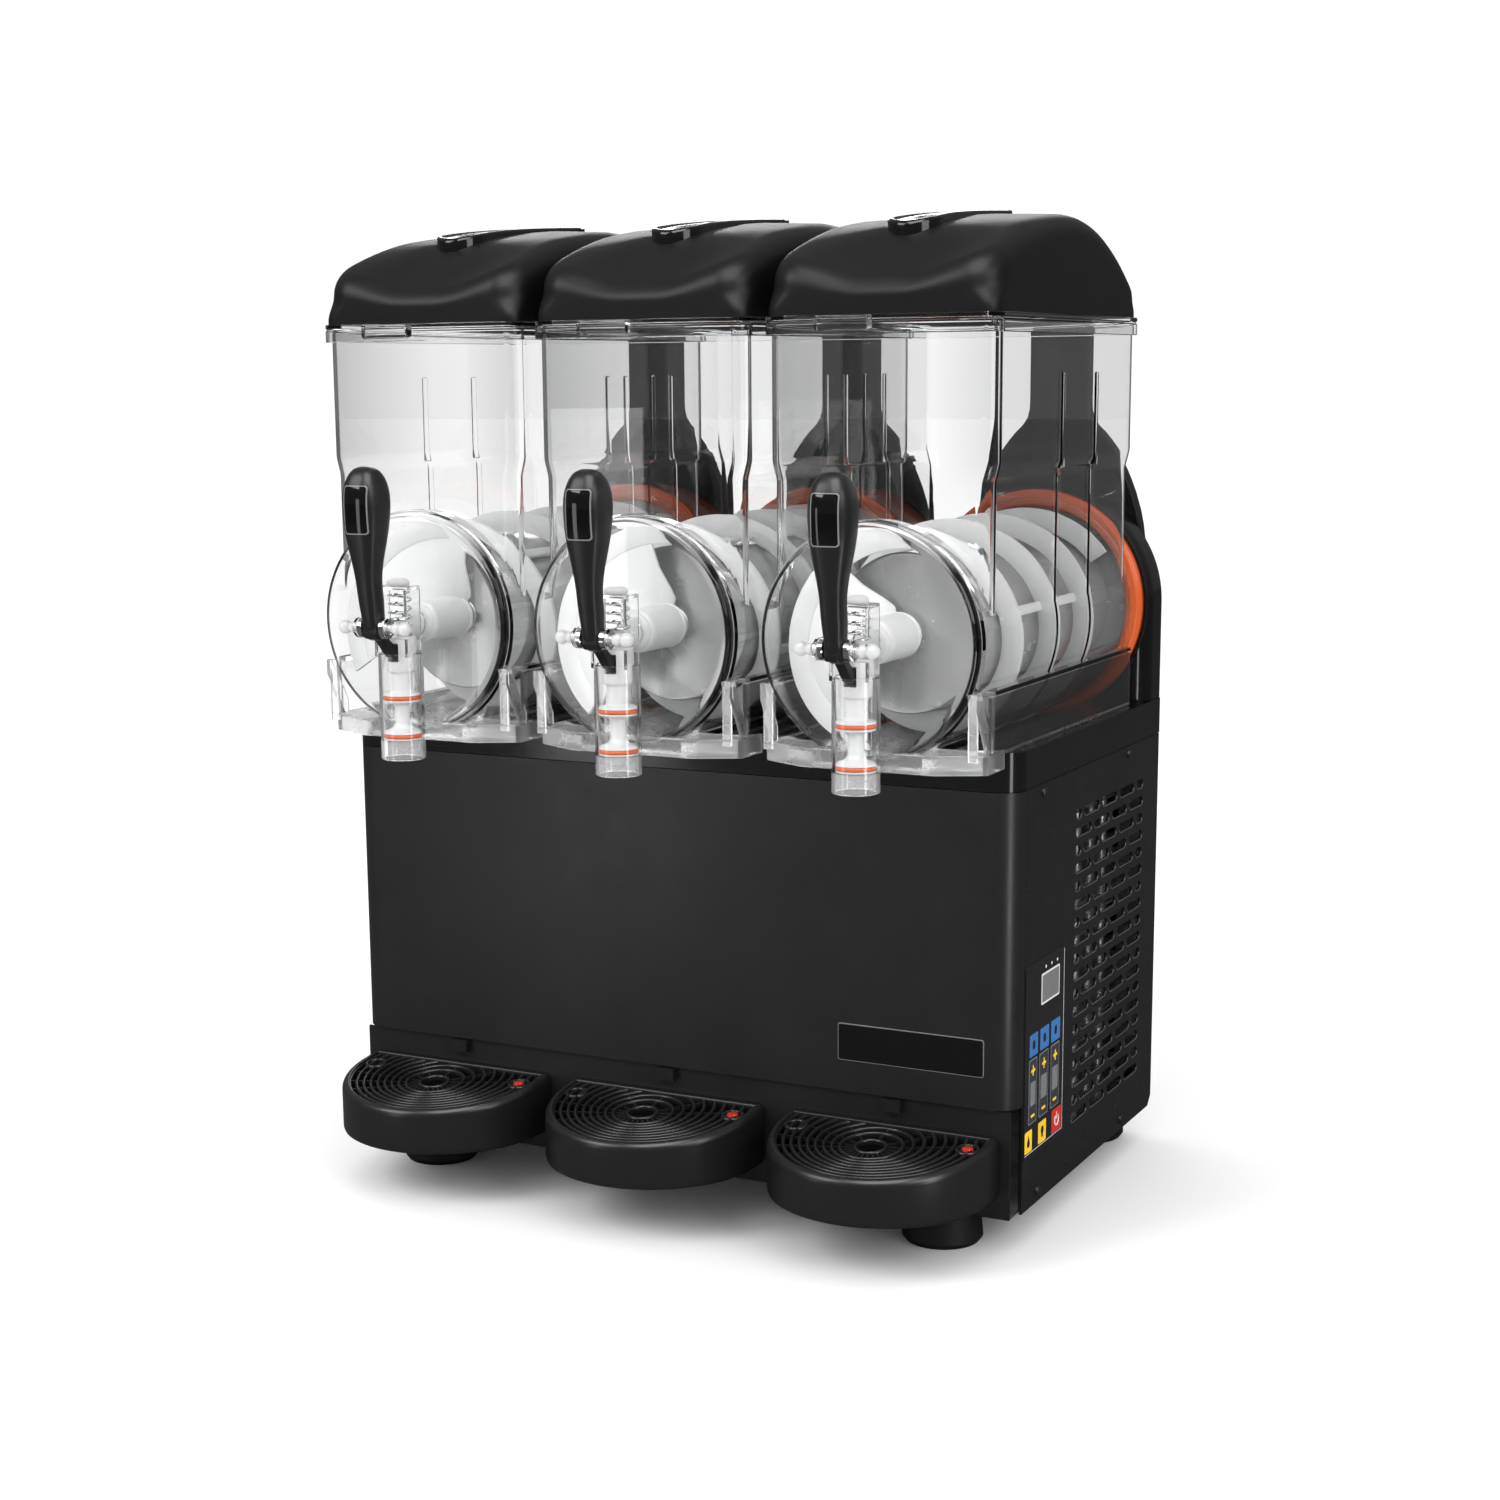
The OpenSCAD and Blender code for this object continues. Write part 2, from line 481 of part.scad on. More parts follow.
// rounded bar between two points of the lever's side view
module link(y0, z0, w0, d0, y1, z1, w1, d1) hull() {
  translate([0, y0, z0]) scale([w0 / d0, 1, 1]) sphere(d = d0, $fn = 24);
  translate([0, y1, z1]) scale([w1 / d1, 1, 1]) sphere(d = d1, $fn = 24);
}
module tap_handle(i) color("#161616") at(i) difference() {
  union() {
    link(-109, 583.5, 32, 34.1, -109, 568, 34.6, 34.1);
    link(-109, 568, 34.6, 34.1, -109.4, 546, 29.5, 29.5);
    link(-109.4, 546, 29.5, 29.5, -108.6, 516, 19.2, 20.4);
    link(-108.6, 516, 19.2, 20.4, -106, 496, 17.2, 19.4);
    link(-106, 496, 17.2, 19.4, -pin_y, pin_z, 15, 17);
    xcyl(-7.5, 7.5, 8.5, -pin_y, pin_z);
    // tail that lifts the piston
    translate([-4, 0, 0]) rotate([90, 0, 90]) linear_extrude(8)
      polygon([[-107, 473], [-99.5, 466], [-85.5, 453.4], [-80, 449.6], [-75, 448.6], [-72, 456], [-79, 457.8], [-88, 464], [-97, 476]]);
    xcyl(-4, 4, 5.2, -77, 453.2);
  }
  xcyl(-20, 20, pin_d / 2 + 0.05, -pin_y, pin_z);
}
module pivot_pin(i) color("white") at(i) {
  xcyl(-29, 29, pin_d / 2, -pin_y, pin_z);
  for (s = [-1, 1]) {
    translate([s * 28, -pin_y, pin_z]) sphere(r = 5.5);
    // steel collars beside the lever
    xcyl(s > 0 ? 7.9 : -12.7, s > 0 ? 12.7 : -7.9, 8.2, -pin_y, pin_z);
  }
}

// ---- drip trays ----
module dshape(r, back) { intersection() { translate([0, tray_yc]) circle(r = r, $fn = 120); translate([-100, -200]) square([200, 200 + back]); } }
// wedge under the sloped top; drop lowers it along the slope's normal
module under_top(drop) translate([-100, 0, 0]) rotate([90, 0, 90]) linear_extrude(200)
  polygon([[tray_back + 1, tray_z - 5], [tray_back + 1, tray_top + sin(tray_tilt) - drop], [-115, tray_top - 118 * tan(tray_tilt) - drop], [-115, tray_z - 5]]);
module drip_tray(i) color("#1b1c1e") at(i) difference() {
  intersection() { translate([0, 0, tray_z]) linear_extrude(60) dshape(tray_r, tray_back); under_top(0); }
  translate([0, 0, tray_z + 3]) linear_extrude(60) dshape(tray_r - 5, tray_back - 3.2);
  // ledge that carries the grille
  difference() { translate([0, 0, tray_z + 10]) linear_extrude(60) dshape(tray_r - 3, tray_back - 2); under_top(5); }
}
module tray_grille(i) color("#202123") at(i) translate([0, tray_back, tray_top - 1.2]) rotate([tray_tilt, 0, 0]) translate([0, -tray_back, -3]) {
  intersection() {
    translate([0, 0, -1]) linear_extrude(8) dshape(tray_r - 3.6, tray_back - 2.6);
    difference() {
      union() {
        for (k = [0 : 8]) let (r = 83.4 - 7.3 * k, yc = tray_yc - 2.4 * k)
          difference() { vcyl(0, yc, 0, 3, r + 1.3); vcyl(0, yc, -1, 4, r - 1.3); }
        for (a = [203 : 33.5 : 337]) translate([0, -42, 0]) rotate([0, 0, a]) bar(12, -1.2, 0, 90, 1.2, 2.2);
        bar(-90, -3, 0, 90, 2, 3);
        vcyl(0, -42, 0, 3, 14);
        for (x = [-72, 72]) vcyl(x, -22, 0, 3, 9.5);
      }
      vcyl(0, -42, -2, 5, 10);
      for (x = [-72, 72]) vcyl(x, -22, -2, 5, 7);
    }
  }
}
module tray_float(i) color("orangered") at(i) {
  vcyl(72, -22, tray_z + 4, tray_z + 16, 9);
  vcyl(72, -22, tray_z + 15, tray_top - 3.2, 4.5);
}

module bowl_1() bowl(1);
module bowl_2() bowl(2);
module bowl_3() bowl(3);
module lid_frame_1() lid_frame(1);
module lid_frame_2() lid_frame(2);
module lid_frame_3() lid_frame(3);
module lid_cover_1() lid_cover(1);
module lid_cover_2() lid_cover(2);
module lid_cover_3() lid_cover(3);
module auger_1() auger(1);
module auger_2() auger(2);
module auger_3() auger(3);
module drive_shaft_1() drive_shaft(1);
module drive_shaft_2() drive_shaft(2);
module drive_shaft_3() drive_shaft(3);
module tap_piston_1() tap_piston(1);
module tap_piston_2() tap_piston(2);
module tap_piston_3() tap_piston(3);
module piston_rings_1() piston_rings(1);
module piston_rings_2() piston_rings(2);
module piston_rings_3() piston_rings(3);
module tap_spring_1() tap_spring(1);
module tap_spring_2() tap_spring(2);
module tap_spring_3() tap_spring(3);
module tap_handle_1() tap_handle(1);
module tap_handle_2() tap_handle(2);
module tap_handle_3() tap_handle(3);
module pivot_pin_1() pivot_pin(1);
module pivot_pin_2() pivot_pin(2);
module pivot_pin_3() pivot_pin(3);
module drip_tray_1() drip_tray(1);
module drip_tray_2() drip_tray(2);
module drip_tray_3() drip_tray(3);
module tray_grille_1() tray_grille(1);
module tray_grille_2() tray_grille(2);
module tray_grille_3() tray_grille(3);
module tray_float_1() tray_float(1);
module tray_float_2() tray_float(2);
module tray_float_3() tray_float(3);

chassis();
front_panel();
lower_front_panel();
right_side_panel();
left_side_panel();
rear_panel();
top_deck();
motor_housing();
rear_columns();
feet();
panel_screws();
control_film();
drain_spouts();
evaporator_drums();
drum_seals();
gearmotors();
compressor();
condenser();
fan_shroud();
fan_rotor();
cable_gland();
bowl_1();
bowl_2();
bowl_3();
lid_frame_1();
lid_frame_2();
lid_frame_3();
lid_cover_1();
lid_cover_2();
lid_cover_3();
auger_1();
auger_2();
auger_3();
drive_shaft_1();
drive_shaft_2();
drive_shaft_3();
tap_piston_1();
tap_piston_2();
tap_piston_3();
piston_rings_1();
piston_rings_2();
piston_rings_3();
tap_spring_1();
tap_spring_2();
tap_spring_3();
tap_handle_1();
tap_handle_2();
tap_handle_3();
pivot_pin_1();
pivot_pin_2();
pivot_pin_3();
drip_tray_1();
drip_tray_2();
drip_tray_3();
tray_grille_1();
tray_grille_2();
tray_grille_3();
tray_float_1();
tray_float_2();
tray_float_3();
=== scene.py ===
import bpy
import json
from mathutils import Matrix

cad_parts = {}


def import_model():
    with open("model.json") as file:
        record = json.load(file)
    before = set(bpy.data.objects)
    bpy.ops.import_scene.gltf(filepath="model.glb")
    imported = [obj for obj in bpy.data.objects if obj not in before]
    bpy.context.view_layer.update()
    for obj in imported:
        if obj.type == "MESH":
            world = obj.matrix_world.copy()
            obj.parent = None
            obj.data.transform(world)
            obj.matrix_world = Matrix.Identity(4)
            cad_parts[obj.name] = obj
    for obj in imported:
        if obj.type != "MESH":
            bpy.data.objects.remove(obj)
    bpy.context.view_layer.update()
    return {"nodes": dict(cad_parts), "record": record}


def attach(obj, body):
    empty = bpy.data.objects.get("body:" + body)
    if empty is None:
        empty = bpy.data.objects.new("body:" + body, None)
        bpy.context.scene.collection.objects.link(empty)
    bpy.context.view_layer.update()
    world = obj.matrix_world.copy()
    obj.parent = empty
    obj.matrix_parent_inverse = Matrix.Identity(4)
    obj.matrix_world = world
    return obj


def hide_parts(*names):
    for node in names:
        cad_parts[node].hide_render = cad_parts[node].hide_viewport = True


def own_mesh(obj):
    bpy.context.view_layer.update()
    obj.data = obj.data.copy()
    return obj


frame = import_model()

import json
import math
import bpy
import bmesh
import numpy as np
from mathutils import Matrix, Vector

scene = bpy.context.scene
scene.view_settings.view_transform = "Standard"
scene.view_settings.look = "None"
# clear walls stand one behind another, so rays need more than the usual number of passes
scene.cycles.max_bounces = 40
scene.cycles.transmission_bounces = 40
scene.cycles.transparent_max_bounces = 40
scene.cycles.glossy_bounces = 6
scene.cycles.diffuse_bounces = 5

Y0 = -120.0
PITCH = 200.0
AXIS = 474.0
pi = math.pi


def P(x, y, z):
    """Millimetres, y from the front panel's plane, to metres in the row frame."""
    return (x * 0.001, (y + Y0) * 0.001, z * 0.001)


# ------------------------------------------------------------------ camera
def camera():
    yaw, pitch, roll = math.radians(27.6106), math.radians(10.5074), math.radians(-0.5383)
    back = Vector((math.sin(yaw) * math.cos(pitch), -math.cos(yaw) * math.cos(pitch), math.sin(pitch)))
    right = Vector((0, 0, 1)).cross(back).normalized()
    up = back.cross(right)
    c, s = math.cos(roll), math.sin(roll)
    r2 = c * right + s * up
    u2 = c * up - s * right
    cam = bpy.data.cameras.new("camera")
    ob = bpy.data.objects.new("camera", cam)
    scene.collection.objects.link(ob)
    m = Matrix.Identity(4)
    for i in range(3):
        m[i][0], m[i][1], m[i][2] = r2[i], u2[i], back[i]
    m[0][3], m[1][3], m[2][3] = 0.924556, -1.799729, 0.670343
    ob.matrix_world = m
    cam.sensor_width = 36.0
    cam.sensor_fit = "HORIZONTAL"
    cam.lens = 2437.562 * 36.0 / 1500.0
    cam.shift_x = (750.0 - 713.772) / 1500.0
    cam.shift_y = (824.415 - 750.0) / 1500.0
    cam.clip_end = 50
    cam.dof.use_dof = False
    scene.camera = ob


camera()


# ------------------------------------------------------------------ materials
def new_mat(name):
    m = bpy.data.materials.new(name)
    m.use_nodes = True
    nt = m.node_tree
    for n in list(nt.nodes):
        nt.nodes.remove(n)
    out = nt.nodes.new("ShaderNodeOutputMaterial")
    b = nt.nodes.new("ShaderNodeBsdfPrincipled")
    nt.links.new(b.outputs[0], out.inputs[0])
    return m, nt, b, out


def coords(nt):
    return nt.nodes.new("ShaderNodeTexCoord").outputs["Object"]


def noise(nt, scale, detail=3, rough=0.6, vec=None):
    n = nt.nodes.new("ShaderNodeTexNoise")
    n.inputs["Scale"].default_value = scale
    n.inputs["Detail"].default_value = detail
    n.inputs["Roughness"].default_value = rough
    nt.links.new(vec or coords(nt), n.inputs["Vector"])
    return n.outputs["Fac"]


def ramp(nt, fac, a, b, ca, cb):
    r = nt.nodes.new("ShaderNodeValToRGB")
    r.color_ramp.elements[0].position = a
    r.color_ramp.elements[1].position = b
    r.color_ramp.elements[0].color = (*ca, 1)
    r.color_ramp.elements[1].color = (*cb, 1)
    nt.links.new(fac, r.inputs[0])
    return r.outputs[0]


def remap(nt, fac, lo, hi, a=0.0, b=1.0):
    r = nt.nodes.new("ShaderNodeMapRange")
    r.inputs["From Min"].default_value = a
    r.inputs["From Max"].default_value = b
    r.inputs["To Min"].default_value = lo
    r.inputs["To Max"].default_value = hi
    r.clamp = True
    nt.links.new(fac, r.inputs["Value"])
    return r.outputs[0]


def bump(nt, b, h, strength, dist):
    n = nt.nodes.new("ShaderNodeBump")
    n.inputs["Strength"].default_value = strength
    n.inputs["Distance"].default_value = dist
    nt.links.new(h, n.inputs["Height"])
    nt.links.new(n.outputs[0], b.inputs["Normal"])


def plastic(name, col, rough, grain=0.0, grain_scale=2200, spread=0.04, spec=0.5, coat=0.0, cvar=0.12):
    """Moulded plastic: colour and gloss vary a little, with a fine grain on textured mouldings."""
    m, nt, b, out = new_mat(name)
    v = noise(nt, 14, 4)
    c2 = tuple(min(1, c * (1 + cvar)) for c in col)
    c1 = tuple(c * (1 - cvar) for c in col)
    nt.links.new(ramp(nt, v, 0.3, 0.7, c1, c2), b.inputs["Base Color"])
    nt.links.new(remap(nt, noise(nt, 45, 5), max(0.02, rough - spread), rough + spread, 0.3, 0.7), b.inputs["Roughness"])
    b.inputs["Specular IOR Level"].default_value = spec
    b.inputs["Coat Weight"].default_value = coat
    b.inputs["Coat Roughness"].default_value = 0.08
    if grain:
        bump(nt, b, noise(nt, grain_scale, 2), grain, 0.0002)
    return m


def metal(name, col, rough, brushed=0.0, axis=1, metallic=1.0, fine=400.0, top_shade=None):
    m, nt, b, out = new_mat(name)
    b.inputs["Metallic"].default_value = metallic
    co = coords(nt)
    mp = nt.nodes.new("ShaderNodeMapping")
    sc = [fine] * 3
    sc[axis] = min(8.0, fine)
    mp.inputs["Scale"].default_value = sc
    nt.links.new(co, mp.inputs["Vector"])
    n = noise(nt, 1.0, 4, 0.7, mp.outputs[0])
    tone = ramp(nt, noise(nt, 9, 3), 0.3, 0.7, tuple(c * 0.9 for c in col), col)
    if top_shade:
        # painted shade: darker towards the top of the piece, between two heights
        sep = nt.nodes.new("ShaderNodeSeparateXYZ")
        nt.links.new(co, sep.inputs[0])
        shade = nt.nodes.new("ShaderNodeVectorMath")
        shade.operation = "SCALE"
        nt.links.new(tone, shade.inputs[0])
        nt.links.new(remap(nt, sep.outputs[2], 1.0, top_shade[2], top_shade[0], top_shade[1]), shade.inputs["Scale"])
        tone = shade.outputs[0]
    nt.links.new(tone, b.inputs["Base Color"])
    nt.links.new(remap(nt, n, rough * 0.8, rough * 1.25, 0.3, 0.7), b.inputs["Roughness"])
    if brushed:
        bump(nt, b, n, brushed, 0.0001)
    return m


def calc(nt, op, a, b=None, clamp=False):
    n = nt.nodes.new("ShaderNodeMath")
    n.operation = op
    n.use_clamp = clamp
    for i, v in enumerate((a, b)):
        if v is None:
            continue
        if isinstance(v, (int, float)):
            n.inputs[i].default_value = v
        else:
            nt.links.new(v, n.inputs[i])
    return n.outputs[0]


def clear(name, ior=1.46):
    """Clear moulded plastic that lets lamps through.

    The hopper's front wall is painted a touch greyer towards its sides, a painted shade; the outer edge of the thick
    front ring is painted near black, a painted shade for its dark refraction; the right-hand skirt is painted darker, a
    painted shade; and the thick foot plate is frosted."""
    m, nt, b, out = new_mat(name)
    sep = nt.nodes.new("ShaderNodeSeparateXYZ")
    nt.links.new(coords(nt), sep.inputs[0])
    x, y, z = sep.outputs
    # painted shade: the hopper's front wall is greyer towards its sides, more so on the left
    r = nt.nodes.new("ShaderNodeValToRGB")
    els = r.color_ramp.elements
    els[0].position, els[0].color = 0.0, (0.58, 0.582, 0.584, 1)
    els[1].position, els[1].color = 1.0, (0.76, 0.762, 0.764, 1)
    for p, c in ((0.3, 0.79), (0.55, 0.96), (0.72, 1.0)):
        e = els.new(p)
        e.color = (c, c, c, 1)
    r.color_ramp.interpolation = "LINEAR"
    nt.links.new(remap(nt, x, 0, 1, -0.095, 0.095), r.inputs[0])
    # painted shade: the outer few millimetres of the front ring's face are painted near black, for the dark band
    # refraction draws there; strongest at the sides, faint at the top
    dz = calc(nt, "SUBTRACT", z, AXIS * 0.001)
    rad = calc(nt, "SQRT", calc(nt, "ADD", calc(nt, "MULTIPLY", x, x), calc(nt, "MULTIPLY", dz, dz)))
    band = remap(nt, rad, 0, 1, 0.0832, 0.0840)
    front = remap(nt, y, 1, 0, -0.1650, -0.1640)
    side = remap(nt, calc(nt, "DIVIDE", calc(nt, "ABSOLUTE", x), rad), 0, 1, 0.35, 0.8)
    foot = remap(nt, calc(nt, "DIVIDE", dz, rad), 0.75, 0, -0.75, -0.2)
    behind = calc(nt, "MULTIPLY", remap(nt, y, 0, 1, -0.1732, -0.1726), remap(nt, z, 0, 1, 0.3944, 0.3950))
    ring = calc(nt, "MULTIPLY", calc(nt, "MULTIPLY", band, calc(nt, "MULTIPLY", front, behind)), calc(nt, "MAXIMUM", side, foot))
    # short legs at the front corners of the foot, slightly hazy
    leg = calc(nt, "MULTIPLY", remap(nt, calc(nt, "ABSOLUTE", x), 0, 1, 0.0786, 0.0790), remap(nt, y, 1, 0, -0.1435, -0.1425))
    leg = calc(nt, "MULTIPLY", leg, calc(nt, "MULTIPLY", remap(nt, z, 1, 0, 0.4395, 0.4402), remap(nt, z, 0, 1, 0.3946, 0.3954)))
    ring = calc(nt, "MULTIPLY", ring, calc(nt, "SUBTRACT", 1.0, leg))
    # painted shade: the skirt on the right-hand side is painted darker
    skirt = calc(nt, "MULTIPLY", remap(nt, x, 0, 1, 0.0862, 0.0866), remap(nt, z, 1, 0, 0.4355, 0.4362))
    # painted shade: darkens the colour at the ring's edge and on the right-hand skirt
    painted_shade_factor = calc(nt, "MULTIPLY", calc(nt, "SUBTRACT", 1.0, calc(nt, "MULTIPLY", ring, 0.997)), calc(nt, "SUBTRACT", 1.0, calc(nt, "MULTIPLY", skirt, 0.68)))
    mul = nt.nodes.new("ShaderNodeVectorMath")
    mul.operation = "SCALE"
    up = nt.nodes.new("ShaderNodeMixRGB")
    up.inputs[1].default_value = (0.99, 0.992, 0.992, 1)
    nt.links.new(calc(nt, "MULTIPLY", remap(nt, z, 0, 1, 0.560, 0.610), remap(nt, y, 1, 0, -0.1445, -0.1435)), up.inputs[0])
    nt.links.new(r.outputs[0], up.inputs[2])
    nt.links.new(up.outputs[0], mul.inputs[0])
    nt.links.new(painted_shade_factor, mul.inputs["Scale"])
    nt.links.new(mul.outputs[0], b.inputs["Base Color"])
    plate = calc(nt, "MULTIPLY", remap(nt, z, 1, 0, 0.3938, 0.3946), remap(nt, y, 0, 1, -0.1735, -0.1725))
    spout = calc(nt, "MULTIPLY", remap(nt, z, 1, 0, 0.381, 0.382), remap(nt, y, 1, 0, -0.1735, -0.1725))
    nt.links.new(calc(nt, "MULTIPLY", plate, remap(nt, noise(nt, 40, 2), 0.22, 0.34, 0.3, 0.7)), b.inputs["Roughness"])
    nt.links.new(calc(nt, "SUBTRACT", 1.0, calc(nt, "ADD", calc(nt, "MULTIPLY", leg, 0.14), calc(nt, "ADD", calc(nt, "MULTIPLY", plate, 0.06), calc(nt, "MULTIPLY", spout, 0.10)))), b.inputs["Transmission Weight"])
    b.inputs["IOR"].default_value = ior
    lp = nt.nodes.new("ShaderNodeLightPath")
    tr = nt.nodes.new("ShaderNodeBsdfTransparent")
    tr.inputs[0].default_value = (0.935, 0.937, 0.937, 1)
    mix = nt.nodes.new("ShaderNodeMixShader")
    nt.links.new(lp.outputs["Is Shadow Ray"], mix.inputs[0])
    nt.links.new(b.outputs[0], mix.inputs[1])
    nt.links.new(tr.outputs[0], mix.inputs[2])
    nt.links.new(mix.outputs[0], out.inputs[0])
    return m


MAT = {
    "painted_black": plastic("painted_black", (0.0098, 0.0098, 0.0102), 0.34, grain=0.1, grain_scale=1500, spec=0.45),
    "painted_side": plastic("painted_side", (0.0075, 0.0075, 0.0078), 0.30, grain=0.2, grain_scale=1300, spec=0.4),
    "chassis_steel": metal("chassis_steel", (0.45, 0.46, 0.47), 0.35, 0.1, 0),
    "deck_plastic": plastic("deck_plastic", (0.004, 0.004, 0.0042), 0.13, spread=0.03, spec=0.45),
    "column_gloss": plastic("column_gloss", (0.005, 0.005, 0.0052), 0.22, spread=0.02, spec=0.26, cvar=0.04),
    "lid_plastic": plastic("lid_plastic", (0.0042, 0.0042, 0.0044), 0.40, spread=0.015, spec=0.25, cvar=0.04),
    "insert_plastic": plastic("insert_plastic", (0.003, 0.003, 0.003), 0.1, spread=0.03, spec=0.5),
    "handle_plastic": plastic("handle_plastic", (0.009, 0.009, 0.0092), 0.33, grain=0.12, spec=0.4),
    "badge_gloss": plastic("badge_gloss", (0.002, 0.002, 0.002), 0.06, spread=0.02, spec=0.6),
    "badge_rim": plastic("badge_rim", (0.16, 0.16, 0.16), 0.25, spec=0.5),
    "tray_plastic": plastic("tray_plastic", (0.0085, 0.0085, 0.0088), 0.29, spread=0.012, spec=0.5, cvar=0.04),
    "clear_plastic": clear("clear_plastic"),
    "white_plastic": plastic("white_plastic", (0.56, 0.562, 0.562), 0.3, cvar=0.02),
    "auger_white": plastic("auger_white", (0.58, 0.583, 0.583), 0.38, cvar=0.02),
    "orange_silicone": plastic("orange_silicone", (0.56, 0.090, 0.015), 0.24, cvar=0.06),
    "red_plastic": plastic("red_plastic", (0.50, 0.024, 0.010), 0.16),
    "stainless": metal("stainless", (0.62, 0.63, 0.64), 0.22, 0.1, 1),
    # painted shade: the drums' steel is darker towards their top
    "drum_steel": metal("drum_steel", (0.49, 0.492, 0.495), 0.24, 0.0, 1, 0.55, 14.0, (0.440, 0.545, 0.60)),
    "chrome": metal("chrome", (0.78, 0.78, 0.79), 0.06),
    "spring_steel": metal("spring_steel", (0.72, 0.72, 0.73), 0.12),
    "foot_rubber": plastic("foot_rubber", (0.008, 0.008, 0.008), 0.5, grain=0.3, spec=0.3),
    "motor_grey": plastic("motor_grey", (0.25, 0.26, 0.27), 0.4),
    "fin_aluminium": metal("fin_aluminium", (0.7, 0.71, 0.72), 0.3, 0.1, 2),
    "film": plastic("film", (0.009, 0.009, 0.0095), 0.22),
    # lighter grey for the vents' lower edges: a painted highlight
    "vent_lip_highlight": plastic("vent_lip_highlight", (0.07, 0.07, 0.071), 0.28, spec=0.6),
    "film_line": plastic("film_line", (0.55, 0.55, 0.55), 0.4),
    "display": plastic("display", (0.16, 0.16, 0.165), 0.2),
    "key_frame": plastic("key_frame", (0.62, 0.63, 0.64), 0.3),
    "key_blue": plastic("key_blue", (0.032, 0.145, 0.38), 0.3),
    "key_slate": plastic("key_slate", (0.030, 0.034, 0.040), 0.3),
    "key_grey": plastic("key_grey", (0.16, 0.165, 0.17), 0.3),
    "key_yellow": plastic("key_yellow", (0.86, 0.55, 0.02), 0.3),
    "key_red": plastic("key_red", (0.55, 0.022, 0.014), 0.3),
    "key_dark": plastic("key_dark", (0.012, 0.012, 0.012), 0.3),
    "key_pale": plastic("key_pale", (0.75, 0.72, 0.70), 0.3),
}
sub = {s["node"]: s["material_slot"] for s in frame["record"]["subparts"]}
for name, ob in frame["nodes"].items():
    slot_name = sub[name]
    if name in ("right_side_panel", "left_side_panel"):
        slot_name = "painted_side"
    if not ob.material_slots:
        ob.data.materials.append(MAT[slot_name])
    for ms in ob.material_slots:
        ms.material = MAT[slot_name]


# ------------------------------------------------------------------ mesh tools (millimetres, converted by P)
class Mesh:
    """Vertices and faces gathered in millimetres, y measured from the front panel's plane."""

    def __init__(self):
        self.v, self.f = [], []

    def add(self, verts, faces):
        b = len(self.v)
        self.v += [tuple(p) for p in verts]
        self.f += [tuple(i + b for i in f) for f in faces]
        return self

    def loft(self, rings, caps=True, loop=False):
        """Closed rings of the same count, joined one to the next."""
        n, k = len(rings[0]), len(rings)
        vs = [p for r in rings for p in r]
        fs = []
        for i in range(k if loop else k - 1):
            a, b = i * n, ((i + 1) % k) * n
            for j in range(n):
                fs.append((a + j, a + (j + 1) % n, b + (j + 1) % n, b + j))
        if caps and not loop:
            fs.append(tuple(range(n))[::-1])
            fs.append(tuple((k - 1) * n + j for j in range(n)))
        return self.add(vs, fs)

    def lathe(self, prof, n=64, axis="z", at=(0, 0, 0), a0=0.0, a1=360.0):
        """Profile of (radius, position along the axis), turned about the axis; a radius of 0 closes it."""
        full = abs(a1 - a0) >= 359.99
        cols = n if full else n + 1
        vs, idx = [], []
        for r, t in prof:
            if r < 1e-6:
                idx.append([len(vs)] * cols)
                vs.append(self._ax(0, 0, t, axis, at))
            else:
                row = []
                for j in range(cols):
                    a = math.radians(a0 + (a1 - a0) * j / n)
                    row.append(len(vs))
                    vs.append(self._ax(r * math.cos(a), r * math.sin(a), t, axis, at))
                idx.append(row)
        fs = []
        for i in range(len(prof) - 1):
            for j in range(n):
                j2 = (j + 1) % cols if full else j + 1
                q = [idx[i][j], idx[i][j2], idx[i + 1][j2], idx[i + 1][j]]
                q = [x for k, x in enumerate(q) if x not in q[:k]]
                if len(q) > 2:
                    fs.append(tuple(q))
        return self.add(vs, fs)

    @staticmethod
    def _ax(u, w, t, axis, at):
        if axis == "z":
            return (at[0] + u, at[1] + w, at[2] + t)
        if axis == "y":
            return (at[0] + u, at[1] + t, at[2] + w)
        return (at[0] + t, at[1] + u, at[2] + w)

    def prism(self, outline, lo, hi, axis="z"):
        """Closed outline (two coordinates per point), drawn out along an axis."""
        def put(p, t):
            if axis == "z":
                return (p[0], p[1], t)
            if axis == "y":
                return (p[0], t, p[1])
            return (t, p[0], p[1])
        return self.loft([[put(p, lo) for p in outline], [put(p, hi) for p in outline]])

    def box(self, x0, y0, z0, x1, y1, z1):
        return self.prism([(x0, y0), (x1, y0), (x1, y1), (x0, y1)], z0, z1)

    def tube(self, path, r, n=12, caps=True, loop=False, up=(0, 0, 1)):
        """Round wire along a path; r may be a list."""
        pts = [Vector(p) for p in path]
        k = len(pts)
        rings = []
        prev = None
        for i, p in enumerate(pts):
            if loop:
                d = pts[(i + 1) % k] - pts[i - 1]
            else:
                d = pts[min(i + 1, k - 1)] - pts[max(i - 1, 0)]
            d.normalize()
            if prev is None:
                s = d.cross(Vector(up))
                if s.length < 1e-4:
                    s = d.cross(Vector((1, 0, 0)))
                s.normalize()
            else:
                s = (prev - d * prev.dot(d)).normalized()
            prev = s
            t = d.cross(s)
            rr = r[i] if isinstance(r, (list, tuple)) else r
            rings.append([tuple(p + (s * math.cos(2 * pi * j / n) + t * math.sin(2 * pi * j / n)) * rr) for j in range(n)])
        return self.loft(rings, caps=caps, loop=loop)

    def build(self, name, fix=True):
        me = bpy.data.meshes.new(name)
        me.from_pydata([P(*p) for p in self.v], [], self.f)
        bm = bmesh.new()
        bm.from_mesh(me)
        bmesh.ops.remove_doubles(bm, verts=bm.verts, dist=2e-6)
        if fix:
            bmesh.ops.recalc_face_normals(bm, faces=bm.faces)
        bm.to_mesh(me)
        bm.free()
        return me


